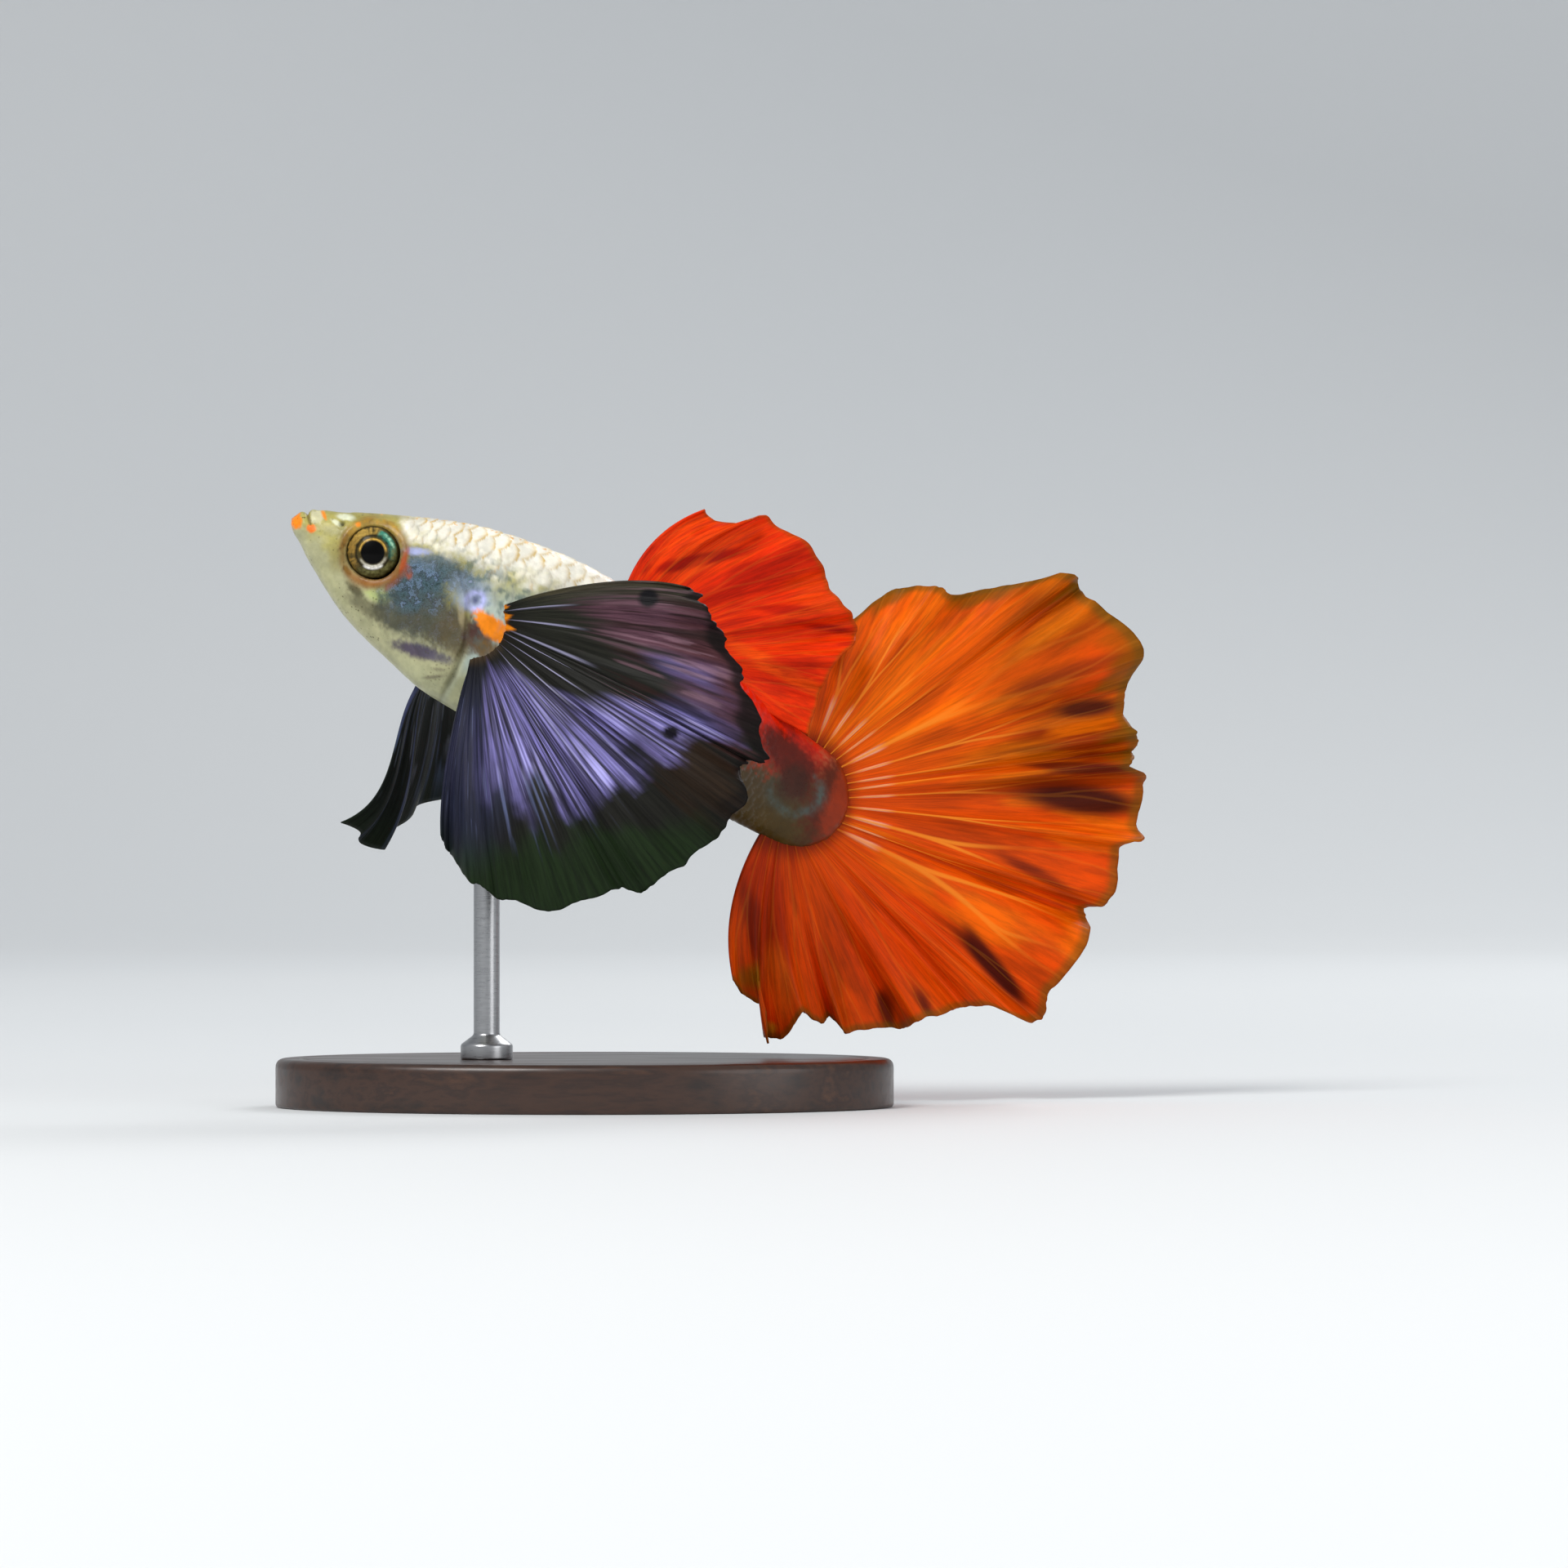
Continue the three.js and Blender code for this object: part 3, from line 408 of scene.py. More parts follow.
class Nodes:
    """A material's node tree, with short calls for its nodes."""

    def __init__(self, name):
        self.material = bpy.data.materials.new(name)
        self.material.use_nodes = True
        self.tree = self.material.node_tree
        self.tree.nodes.clear()

    def add(self, kind, values=None, **settings):
        node = self.tree.nodes.new(kind)
        for key, value in settings.items():
            setattr(node, key, value)
        for key, value in (values or {}).items():
            if isinstance(value, bpy.types.NodeSocket):
                self.tree.links.new(value, node.inputs[key])
            else:
                node.inputs[key].default_value = rgba(value) if isinstance(value, str) else value
        return node

    def out(self, kind, values=None, output=0, **settings):
        return self.add(kind, values, **settings).outputs[output]

    def math(self, operation, *values, clamp=False):
        return self.out("ShaderNodeMath", dict(enumerate(values)), operation=operation, use_clamp=clamp)

    def times(self, a, b, clamp=False):
        return self.math("MULTIPLY", a, b, clamp=clamp)

    def ranged(self, value, low, high, to_low=0.0, to_high=1.0):
        values = {"Value": value, "From Min": low, "From Max": high, "To Min": to_low, "To Max": to_high}
        return self.out("ShaderNodeMapRange", values, interpolation_type="SMOOTHSTEP")

    def mixed(self, amount, a, b, blend="MIX"):
        values = {0: amount, 6: a, 7: b}
        return self.out("ShaderNodeMix", values, 2, data_type="RGBA", blend_type=blend)

    def tinted(self, amount):
        """The colour of the piece's own paint, made lighter or darker by a number."""
        grey = self.out("ShaderNodeCombineColor", {0: amount, 1: amount, 2: amount})
        return self.mixed(1.0, self.attribute("tint"), grey, "MULTIPLY")

    def attribute(self, name, output="Color"):
        return self.out("ShaderNodeAttribute", None, output, attribute_name=name)

    def place(self, stretch=None):
        """A point's place in its piece, where asked stretched along the three axes."""
        place = self.out("ShaderNodeTexCoord", None, "Object")
        return self.out("ShaderNodeMapping", {"Vector": place, "Scale": stretch}) if stretch else place

    def noise(self, vector, scale, detail=3.0, roughness=0.55):
        values = {"Vector": vector, "Scale": scale, "Detail": detail, "Roughness": roughness}
        return self.out("ShaderNodeTexNoise", values)

    def ramp(self, value, stops):
        node = self.add("ShaderNodeValToRGB", {"Fac": value})
        elements = node.color_ramp.elements
        while len(elements) < len(stops):
            elements.new(0.5)
        for element, (position, code) in zip(elements, stops):
            element.position = position
            element.color = rgba(code)
        return node.outputs["Color"]

    def bump(self, height, strength, distance):
        return self.out("ShaderNodeBump", {"Height": height, "Strength": strength, "Distance": distance})

    def surface(self, values):
        return self.out("ShaderNodeBsdfPrincipled", values)

    def finish(self, shader):
        self.add("ShaderNodeOutputMaterial", {"Surface": shader})
        return self.material


def skin_material():
    n = Nodes("skin")
    freckled, shining, rimmed = n.add("ShaderNodeSeparateColor", {"Color": n.attribute("masks")}).outputs
    place = n.place()
    colour = n.tinted(n.ranged(n.noise(place, 900.0, 4.0), 0.3, 0.7, 0.86, 1.1))
    sheen = n.ramp(
        n.noise(place, 1300.0, 6.0, 0.75),
        [
            (0.3, "#12181a"), (0.4, "#2a4044"), (0.47, "#4c6470"), (0.52, "#1f2628"), (0.58, "#6f86a4"),
            (0.63, "#2c4a48"), (0.7, "#8d93c4"), (0.78, "#c6d0dc"),
        ],  # fmt: skip
    )
    colour = n.mixed(n.times(shining, 0.85), colour, sheen)
    spots = n.out("ShaderNodeTexVoronoi", {"Vector": place, "Scale": 3600.0}, "Distance")
    patchy = n.ranged(n.noise(place, 700.0, 2.0), 0.42, 0.6)
    freckle = n.times(n.ranged(spots, 0.16, 0.3, 1.0, 0.0), patchy)
    colour = n.mixed(n.times(n.times(freckle, freckled), 0.75), colour, "#4b4426")
    grain = n.noise(place, 6000.0, 3.0)
    values = {
        "Base Color": colour,
        "Roughness": n.ranged(grain, 0.2, 0.8, 0.26, 0.42),
        "Specular IOR Level": 0.18,
        "Subsurface Weight": 0.04,
        "Subsurface Radius": (1.0, 0.5, 0.25),
        "Subsurface Scale": 0.0006,
        "Coat Weight": 0.06,
        "Coat Roughness": 0.15,
        "Normal": n.bump(n.math("ADD", grain, n.times(rimmed, -0.6)), 0.35, 0.00004),
    }
    return n.finish(n.surface(values))


def fin_material(name, ray_colour, ray_strength, streak_dark, translucence):
    """A membrane painted by its vertices, with fine streaks along it and rays that fork twice."""
    n = Nodes(name)
    across, outwards, glow = n.add("ShaderNodeSeparateXYZ", {0: n.attribute("fan", "Vector")}).outputs
    wavering = n.times(n.math("SUBTRACT", n.noise(n.place(), 180.0, 1.0), 0.5), 0.3)
    stretch = {0: n.times(across, 5.0), 1: n.times(outwards, 2.0)}
    streak = n.noise(n.out("ShaderNodeCombineXYZ", stretch), 2.0, 6.0, 0.68)
    colour = n.tinted(n.ranged(streak, 0.34, 0.64, streak_dark, 1.14))
    swayed = n.math("ADD", across, n.times(wavering, outwards))
    first = n.math("ABSOLUTE", n.math("SUBTRACT", n.math("FRACT", swayed), 0.5))
    forked = n.math("ABSOLUTE", n.math("SUBTRACT", first, n.ranged(outwards, 0.3, 0.75, 0.0, 0.25)))
    twice = n.math("ABSOLUTE", n.math("SUBTRACT", forked, n.ranged(outwards, 0.62, 1.0, 0.0, 0.11)))
    width = n.ranged(outwards, 0.0, 1.0, 0.11, 0.022)
    line = n.ranged(n.math("DIVIDE", twice, width), 0.2, 1.0, 1.0, 0.0)
    amount = n.times(n.times(line, glow), ray_strength, clamp=True)
    colour = n.mixed(amount, colour, ray_colour)
    height = n.math("ADD", n.times(line, 0.7), streak)
    normal = n.bump(height, 0.3, 0.00006)
    roughness = n.ranged(streak, 0.2, 0.8, 0.38, 0.55)
    values = {"Base Color": colour, "Roughness": roughness, "Specular IOR Level": 0.1, "Normal": normal}
    behind = n.out("ShaderNodeBsdfTranslucent", {"Color": colour, "Normal": normal})
    return n.finish(n.out("ShaderNodeMixShader", {0: translucence, 1: n.surface(values), 2: behind}))


def eye_material():
    n = Nodes("eye")
    fleck = n.ranged(n.noise(n.place(), 5200.0, 4.0, 0.7), 0.3, 0.7, 0.7, 1.25)
    values = {
        "Base Color": n.tinted(fleck),
        "Roughness": 0.4,
        "Specular IOR Level": 0.05,
        "Coat Weight": 0.25,
        "Coat IOR": 1.3,
        "Coat Roughness": 0.03,
    }
    return n.finish(n.surface(values))


def wood_material():
    n = Nodes("base")
    rings = n.noise(n.place((1.0, 7.0, 7.0)), 110.0, 6.0, 0.6)
    colour = n.ramp(rings, [(0.35, "#20120b"), (0.5, "#3a2215"), (0.58, "#2a170e"), (0.7, "#4a2d1b")])
    values = {
        "Base Color": colour,
        "Roughness": n.ranged(rings, 0.3, 0.7, 0.3, 0.42),
        "Coat Weight": 0.2,
        "Coat Roughness": 0.2,
        "Normal": n.bump(rings, 0.15, 0.0001),
    }
    return n.finish(n.surface(values))


def steel_material():
    n = Nodes("steel")
    brushed = n.noise(n.place((1.0, 1.0, 12.0)), 1200.0, 2.0)
    values = {
        "Base Color": n.ramp(brushed, [(0.3, "#a3a4a6"), (0.7, "#b2b3b5")]),
        "Metallic": 1.0,
        "Roughness": n.ranged(brushed, 0.2, 0.8, 0.26, 0.34),
    }
    return n.finish(n.surface(values))


# The skin


def body_rows():
    """The stations of the skin's rows, set closer on the head."""
    fine = np.linspace(0, len(BODY) - 1, 4000)
    x = through(BODY[:, 0], fine)
    z = through(BODY[:, 1], fine)
    step = np.where(x < HEAD_END, HEAD_STEP, TRUNK_STEP)
    travel = np.concatenate([[0.0], np.cumsum(np.hypot(np.diff(x), np.diff(z)) / step[1:])])
    return np.interp(np.linspace(0, travel[-1], int(travel[-1])), travel, fine)


def body_grid():
    """The smooth body as a grid of points, from snout to tail and round each section from the back."""
    t = body_rows()[:, None]
    angle = circle(SKIN_SIDES)[None, :]
    x, z, up, down, wide, boxy = (through(BODY[:, k], t) for k in range(6))
    ahead_x, ahead_z = heading(BODY, t, 0.02)
    c = np.cos(angle)
    s = np.sin(angle)
    power = 2 + BOXY_POWER * np.where(c > 0, boxy, 0.0)
    reach = (np.abs(s) ** power + np.abs(c) ** power) ** (-1 / power)
    height = np.where(c > 0, up, down) * c * reach
    return xyz(x - ahead_z * height, -wide * s * reach, z + ahead_x * height)


def scales(grid):
    """How high the scales stand, how near their rear rims are, and how far down the flank each point lies."""
    girth = np.linalg.norm(np.diff(grid[:, : SKIN_SIDES // 2 + 1], axis=1), axis=-1)
    down_flank = np.concatenate([np.zeros((len(grid), 1)), np.cumsum(girth, axis=1)], axis=1)
    whole = down_flank[:, -1:]
    share = down_flank / whole
    share = np.concatenate([share, share[:, -2:0:-1]], axis=1)
    travel = np.concatenate([[0.0], np.linalg.norm(np.diff(grid.mean(axis=1), axis=0), axis=-1)])
    b = share * SCALE_ROWS
    a = np.cumsum(travel / (SCALE_LENGTH * whole[:, 0] / SCALE_ROWS))[:, None] + 0 * b
    chosen = np.full(a.shape, FAR)
    first = np.floor((a - SCALE_REACH) / SCALE_PITCH)
    for k in reversed(range(SCALE_LAYERS)):
        row = first + k
        offset = 0.5 * np.mod(row, 2)
        across = b - offset - np.round(b - offset)
        edge = row * SCALE_PITCH + np.sqrt(np.maximum(0.0, SCALE_REACH**2 - across**2)) - a
        chosen = np.where(edge >= 0, edge, chosen)
    height = SCALE_HEIGHT * np.clip(1.0 - chosen / SCALE_PITCH, 0.0, 1.0)
    return height, ridge(chosen, 0, SCALE_RIM), share


def near_line(x, z, line):
    """The distance from each point to a line of points, seen from the side."""
    best = np.full(x.shape, FAR)
    for (ax, az), (bx, bz) in zip(line, line[1:]):
        ux, uz = bx - ax, bz - az
        t = np.clip(((x - ax) * ux + (z - az) * uz) / (ux * ux + uz * uz), 0.0, 1.0)
        best = np.minimum(best, np.hypot(x - ax - t * ux, z - az - t * uz))
    return best


def mouth_distances(x, z):
    """How far behind the mouth's cleft a point lies, and how far down it."""
    (tx, tz), (cx, cz) = MOUTH_TOP, MOUTH_CORNER
    length = math.hypot(cx - tx, cz - tz)
    ux, uz = (cx - tx) / length, (cz - tz) / length
    return -uz * (x - tx) + ux * (z - tz), (ux * (x - tx) + uz * (z - tz)) / length


def behind_gill(x, z):
    """How far behind the gill cover's edge a point lies."""
    return x - np.interp(z, GILL_EDGE[::-1, 1], GILL_EDGE[::-1, 0])


def skin_relief(grid, scale_height):
    """How far the skin stands out of the smooth body, and how strongly it shows scales."""
    x, w, z = np.moveaxis(grid, -1, 0)
    behind = behind_gill(x, z)
    cheek = fall(z, 35.0, 2.2) * rise(z, 24.6, 2.0) * smooth(np.abs(w) / 1.2)
    relief = cheek * RELIEF["gill_flare"] * rise(behind, -4.5, 4) * fall(behind, 0.15, 0.3)
    relief -= cheek * RELIEF["gill_slit"] * ridge(behind, 0.2, 0.16)
    relief -= cheek * RELIEF["cheek_fold"] * ridge(near_line(x, z, PREOPERCLE), 0, 0.14)
    r = distance(x, z, (EYE["x"], EYE["z"]))
    side = rise(np.abs(w), 1.0, 0.6)
    relief += side * RELIEF["eye_rim"] * ridge(r, 2.0, 0.2)
    relief -= side * RELIEF["socket"] * fall(r, EYE["socket"], 0.12)
    nostril = distance(x, z, NOSTRIL)
    relief += side * RELIEF["nostril_rim"] * ridge(nostril, 0.27, 0.08)
    relief -= side * RELIEF["nostril"] * ridge(nostril, 0, 0.15)
    across, down = mouth_distances(x, z)
    gape = fall(down, 0.74, 0.12)
    relief += gape * RELIEF["lips"] * ridge(np.abs(across), 0.34, 0.2)
    relief -= gape * RELIEF["cleft"] * ridge(across, 0, 0.08)
    lobe = np.hypot((x - PECTORAL["x"]) / PECTORAL_LOBE["long"], (z - PECTORAL["z"]) / PECTORAL_LOBE["high"])
    lobed = smooth(PECTORAL_LOBE["soft"] - lobe)
    relief += RELIEF["lobe"] * rise(np.abs(w), 1.5, 1.0) * lobed
    relief += RELIEF["pitting"] * (cloud(x * 2.2, z * 2.2 + w, 11) - 0.5) * fall(x, -5.0, 3)
    scaled = rise(x, -10.6, 1.4) * np.where(z > 34.3, 1.0, rise(behind, 0.8, 1.2))
    scaled *= fall(x, 12.5, 5.0) * (1 - lobed)
    return relief + scaled * scale_height, scaled


# A mark is a colour, the x and z of its middle, its half length and half height, its tilt in degrees, how
# soft its edge is and how strong it is.
HEAD_MARKS = [
    ("#8f8c5c", -14.2, 35.25, 1.2, 0.35, -10, 1.2, 0.6),
    ("#a39a55", -11.6, 36.6, 2.6, 0.45, -8, 1.2, 0.75),
    ("#e4e9cd", -13.75, 36.15, 0.5, 0.2, -10, 1.0, 0.85),
    ("#e4e9cd", -14.3, 35.8, 0.35, 0.14, -30, 1.0, 0.7),
    ("#8b8352", -14.3, 33.6, 0.5, 0.8, 0, 1.2, 0.45),
    ("#bdbb8c", -14.6, 31.9, 1.6, 0.4, -55, 1.0, 0.5),
    ("#4c4830", -13.15, 31.7, 0.7, 0.26, -40, 1.0, 0.9),
    ("#b9c47c", -11.7, 31.35, 0.8, 0.5, -15, 0.8, 0.95),
    ("#6f6c50", -12.2, 30.5, 1.6, 0.5, -32, 1.0, 0.85),
    ("#4b4a3a", -10.5, 30.1, 1.6, 1.0, -24, 0.9, 0.9),
    ("#33484c", -9.6, 31.9, 2.0, 1.6, -24, 0.8, 0.95),
    ("#4a5a62", -7.9, 32.9, 2.3, 0.8, -24, 0.9, 0.9),
    ("#a3abd8", -9.4, 34.0, 0.8, 0.22, -5, 1.0, 0.9),
    ("#4e4a38", -8.3, 29.9, 2.2, 1.5, -24, 0.9, 0.95),
    ("#574a2e", -6.9, 29.0, 1.3, 1.4, -20, 0.9, 0.85),
    ("#4b3f55", -9.3, 28.0, 1.5, 0.42, -14, 0.9, 0.95),
    ("#5d5867", -8.0, 27.6, 0.9, 0.3, -14, 1.0, 0.7),
    ("#77715a", -8.3, 26.45, 0.65, 0.1, 5, 1.2, 0.8),
    ("#77715a", -8.0, 26.9, 0.4, 0.08, -5, 1.2, 0.6),
    ("#a89a72", -6.6, 30.2, 0.2, 0.9, 8, 1.0, 0.75),
    ("#96a4b4", -6.0, 31.5, 1.2, 1.0, -20, 0.9, 0.85),
    ("#4a2c26", -5.5, 28.9, 0.9, 1.1, 20, 0.9, 0.95),
    ("#74592e", -4.6, 27.8, 1.3, 0.6, -30, 0.9, 0.9),
]
LATE_MARKS = [
    ("#cfcba6", -15.55, 36.15, 0.4, 0.4, 0, 0.5, 0.9),
    ("#f08a1c", -15.1, 36.3, 0.1, 0.35, 25, 0.8, 0.9),
    ("#f5871a", -16.85, 35.95, 0.42, 0.5, 0, 0.5, 1.0),
    ("#f07414", -15.85, 35.45, 0.27, 0.24, 0, 0.6, 1.0),
    ("#ee8a1a", -12.95, 35.65, 0.17, 0.13, 0, 0.8, 0.9),
    ("#a5481a", -10.15, 33.3, 0.18, 0.85, -14, 1.0, 0.9),
    ("#b8501a", -9.85, 32.75, 0.22, 0.4, 10, 1.0, 0.85),
    ("#92501f", -10.7, 32.15, 0.8, 0.2, 40, 1.0, 0.8),
    ("#e8820e", -4.75, 29.4, 1.35, 0.58, -42, 0.35, 1.0),
    ("#e8820e", -4.1, 28.95, 0.7, 0.5, -60, 0.4, 1.0),
]
PEDUNCLE_MARKS = [
    ("#4a3a22", 12.4, 19.2, 5.2, 3.4, -28, 0.7, 1.0),
    ("#dc2000", 10.4, 24.6, 6.4, 2.6, -33, 0.8, 1.0),
    # This dark maroon mark under the dorsal fin's rear is painted shadow.
    ("#4e160a", 12.6, 21.7, 2.6, 1.2, -38, 0.9, 0.95),
    ("#4c3a14", 13.0, 17.2, 3.6, 1.2, -24, 0.9, 0.95),
    ("#3d1a0e", 13.1, 19.9, 1.1, 1.1, 0, 0.8, 0.95),
    ("#561c04", 15.5, 18.9, 1.5, 2.9, -24, 0.9, 1.0),
    ("#8f2c05", 16.5, 19.2, 0.9, 3.0, -26, 1.0, 1.0),
]


def skin_paint(grid, share, rim, scaled):
    """The skin's colours, with painted shade in its socket, slits and pits and painted shadow under the
    dorsal fin, and how freckled, shining and rimmed it is.
    """
    x, w, z = np.moveaxis(grid, -1, 0)
    gill = behind_gill(x, z)
    behind = smooth(gill / 0.8)
    rough = cloud(x * 1.6, z * 1.6 + w, 3) - 0.5
    fine = cloud(x * 5, z * 5 + w, 21) - 0.5
    skin = Paint(x, "#aea55c")
    skin.lay("#b2b088", rise(share + 0.2 * rough, 0.45, 0.25))
    skin.lay("#9c9550", fall(share - 0.3 * rough, 0.36, 0.16) * fall(x, -10.5, 1.5) * 0.8)
    skin.lay("#b6b68e", rise(share, 0.74, 0.12) * rise(x, -12, 3))
    skin.lay("#abb8ae", behind * rise(share, 0.28, 0.2))
    skin.lay("#b2b38c", behind * rise(share, 0.68, 0.1) * fall(x, -2.0, 3))
    nape = rise(x + rough, -10.9, 1.0) * fall(share - 0.2 * rough, 0.35, 0.14)
    skin.lay("#efebdc", nape)
    skin.lay("#ecd2c6", nape * rise(x, 0.5, 3.5))
    skin.lay("#b9c8c0", behind * rise(x, -5.5, 3) * band(share, 0.34, 0.6, 0.2))
    skin.lay("#8d8678", rise(x, -3, 4) * rise(share, 0.55, 0.15))
    skin.lay("#a8653f", rise(x, 4.5, 3.0) * fall(share, 0.6, 0.3))
    skin.marks(x, z, HEAD_MARKS)
    dark = rise(cloud(x * 2.6, z * 2.6 + w, 31, 6), 0.46, 0.2)
    mottled = dark * behind * rise(x, -8.0, 1.5) * fall(x, 1.0, 4) * band(share, 0.25, 0.6, 0.16)
    skin.lay("#4c625f", mottled * 0.7)
    # The peduncle's marks, one of them a painted shadow under the dorsal fin's rear.
    skin.marks(x, z, PEDUNCLE_MARKS)
    ring = np.hypot((x - TAIL_RING["x"]) / 1.05, z - TAIL_RING["z"])
    ringed = ridge(ring + 0.6 * rough, TAIL_RING["radius"], 0.3) * fall(z - 2 * rough, 20.4, 1.2)
    skin.lay("#47544f", ringed * (0.65 + fine))
    spot = distance(x, z, SHOULDER_SPOT)
    skin.lay("#b4b8ea", ridge(spot, 0.5, 0.2) * (0.9 + fine))
    skin.lay("#4a4c78", ridge(spot, 0, 0.26) * 0.9)
    r = distance(x, z, (EYE["x"], EYE["z"]))
    facing = np.arctan2(z - EYE["z"], x - EYE["x"])
    orbit = ridge(r, 1.9, 0.32)
    skin.lay("#7a5a26", orbit * (0.75 + 1.4 * rough))
    skin.lay("#4a3716", orbit * rise(fine, 0.06, 0.08) * 0.6)
    skin.lay("#b08a36", orbit * band(facing, 0.3, 2.6, 0.5) * (0.6 + 1.5 * fine))
    skin.lay("#99602c", orbit * band(facing, -2.4, -0.6, 0.6) * 0.6)
    skin.marks(x, z, LATE_MARKS)
    # Painted shade in the eye's socket, in the gap round the eyeball.
    skin.lay("#241c10", fall(r, EYE["socket"], 0.1))
    across, down = mouth_distances(x, z)
    gape = fall(down, 0.76, 0.1)
    # Painted shade: a darker line along the mouth's cleft.
    skin.lay("#6b5530", gape * ridge(across, 0, 0.07) * 0.8)
    # Painted shade in the nostril's pit.
    skin.lay("#4c4a2c", ridge(distance(x, z, NOSTRIL), 0, 0.16))
    # Painted shade: a darker line in the slit behind the gill cover's edge.
    skin.lay("#4b4532", ridge(gill, 0.2, 0.14) * fall(z, 33.0, 2.0) * (0.35 + rough))
    yellow = fall(share - 0.3 * rough, 0.3, 0.16) * rise(x, -11, 1) * fall(x, 4.0, 5)
    skin.lay("#cfa94a", scaled * rim * yellow * (0.75 + rough))
    skin.lay("#8f9290", scaled * rim * (1 - yellow) * 0.4)
    skin.lay("#e0a13a", rise(fine, 0.16, 0.08) * fall(share, 0.14, 0.06) * band(x, -12.5, -1.0, 2.0))
    colours = skin.colours * (1 + 0.25 * fine)[..., None]
    freckled = fall(x, -9.5, 2.5) * rise(r, 2.1, 0.3)
    freckled = np.maximum(freckled, blob(x, z, (-8.0, 27.5), (2.6, 1.6), 0.8) * 0.5)
    shine = blob(x, z, (-9.6, 31.9), (2.2, 1.6), 0.9) + 0.55 * blob(x, z, (-7.3, 32.6), (2.4, 1.2), 0.9)
    shine = shine + 0.25 * blob(x, z, (-8.4, 29.7), (2.6, 1.7), 0.8)
    shining = np.clip(shine, 0, 1) * np.clip(0.8 + 1.5 * rough, 0, 1)
    shining *= (1 - blob(x, z, (-4.8, 29.8), (1.6, 1.6), 0.5)) * rise(r, 2.0, 0.5)
    return colours, np.stack([freckled, np.clip(shining, 0, 1), scaled * rim], axis=-1)


def skin_piece():
    grid = body_grid()
    height, rim, share = scales(grid)
    relief, scaled = skin_relief(grid, height)
    outwards = normals_of(np.concatenate([grid[:, -1:], grid, grid[:, :1]], axis=1))[:, 1:-1]
    upwards = np.sign(outwards[len(grid) // 2, 0, 2])
    shaped = bend(grid + outwards * upwards * relief[..., None])
    colours, masks = skin_paint(grid, share, rim, scaled)
    rows, columns = grid.shape[:2]
    faces = grid_faces(rows, columns, closed=True)
    last = (rows - 1) * columns
    for j in range(columns):
        k = (j + 1) % columns
        faces.append((rows * columns, k, j))
        faces.append((rows * columns + 1, last + j, last + k))
    ends = np.array([colours[0].mean(axis=0), colours[-1].mean(axis=0)])
    attributes = {
        "tint": np.concatenate([colours.reshape(-1, 3), ends]),
        "masks": np.concatenate([masks.reshape(-1, 3), np.zeros((2, 3))]),
    }
    vertices = np.concatenate([shaped.reshape(-1, 3), bend(np.array([SNOUT_TIP, TAIL_ROOT_TIP]))])
    new_piece("skin", vertices, faces, skin_material(), "skin", ("head", "trunk", "tail_root"), attributes)


# The eyes


def eye_piece(name, side, material):
    turn = np.linspace(0, math.pi, EYE_RINGS)[:, None]
    spokes = circle(EYE_SPOKES)[None, :]
    dx = EYE["radius"] * np.sin(turn) * np.cos(spokes)
    dz = EYE["radius"] * np.sin(turn) * np.sin(spokes)
    r = np.hypot(dx, dz)
    facing = np.arctan2(dz, dx)
    grain = cloud(dx * 6, dz * 6, 5) - 0.5
    spoke = noise(facing * 12, r * 3, 6) - 0.5
    eye = Paint(r, "#433a1c")
    eye.lay("#a98a42", band(facing, 1.3, 3.4, 0.6) * band(r, 1.12, 1.56, 0.2) * (0.75 + 2 * spoke))
    eye.lay("#8a6c30", rise(np.abs(facing), 2.2, 0.6) * band(r, 1.1, 1.58, 0.2) * (0.8 + 2 * spoke))
    eye.lay("#3d8773", band(facing, -0.35, 1.25, 0.3) * band(r, 0.98, 1.42, 0.14) * (1 + 2 * grain))
    eye.lay("#a4d3b4", band(facing, 0.15, 1.0, 0.3) * band(r, 1.2, 1.36, 0.1) * (0.6 + 3 * grain))
    eye.lay("#6f6c40", band(facing, -2.2, 0.2, 0.6) * band(r, 1.1, 1.5, 0.2) * (0.7 + 2 * grain))
    eye.lay("#16120a", band(r, 0.97, 1.1, 0.08) * rise(np.abs(facing + 1.2), 0.2, 0.3) * 0.7)
    eye.lay("#f3f0e8", band(facing, -2.15, -0.95, 0.25) * band(r, 0.8, 1.04, 0.1))
    eye.lay("#c9c4b0", band(facing, -2.6, -0.4, 0.4) * band(r, 0.78, 0.92, 0.1) * 0.7)
    eye.lay("#caa048", band(facing, 0.1, 3.0, 0.4) * band(r, 0.76, 0.86, 0.08))
    eye.lay("#1c160c", rise(r - 0.2 * grain, 1.53, 0.07))
    eye.lay("#010101", fall(r, 0.76, 0.05))
    inner = (np.cos(turn) < 0) & (r < 1.2)
    tint = np.where(inner[..., None], hue("#16130d"), eye.colours)
    vertices = bend(xyz(EYE["x"] + dx, side * (EYE["w"] + EYE["depth"] * np.cos(turn)), EYE["z"] + dz))
    faces = grid_faces(*r.shape, closed=True, flip=side < 0)
    new_piece("shown_" + name, vertices, faces, material, "eye", (name,), {"tint": tint})


# The fins


def arch(v):
    """0 at both ends and 1 half way."""
    return 4 * v * (1 - v)


def notches(u, rays, shape, more=0.0):
    """How far a margin stands out at its small notches and at its rays."""
    rough = cloud(u * rays * shape["grain"], 0 * u, shape["seed"], shape["octaves"]) - 0.5
    return (shape["size"] + more) * rough + shape["scallop"] * np.cos(2 * math.pi * (u * rays - 0.5))


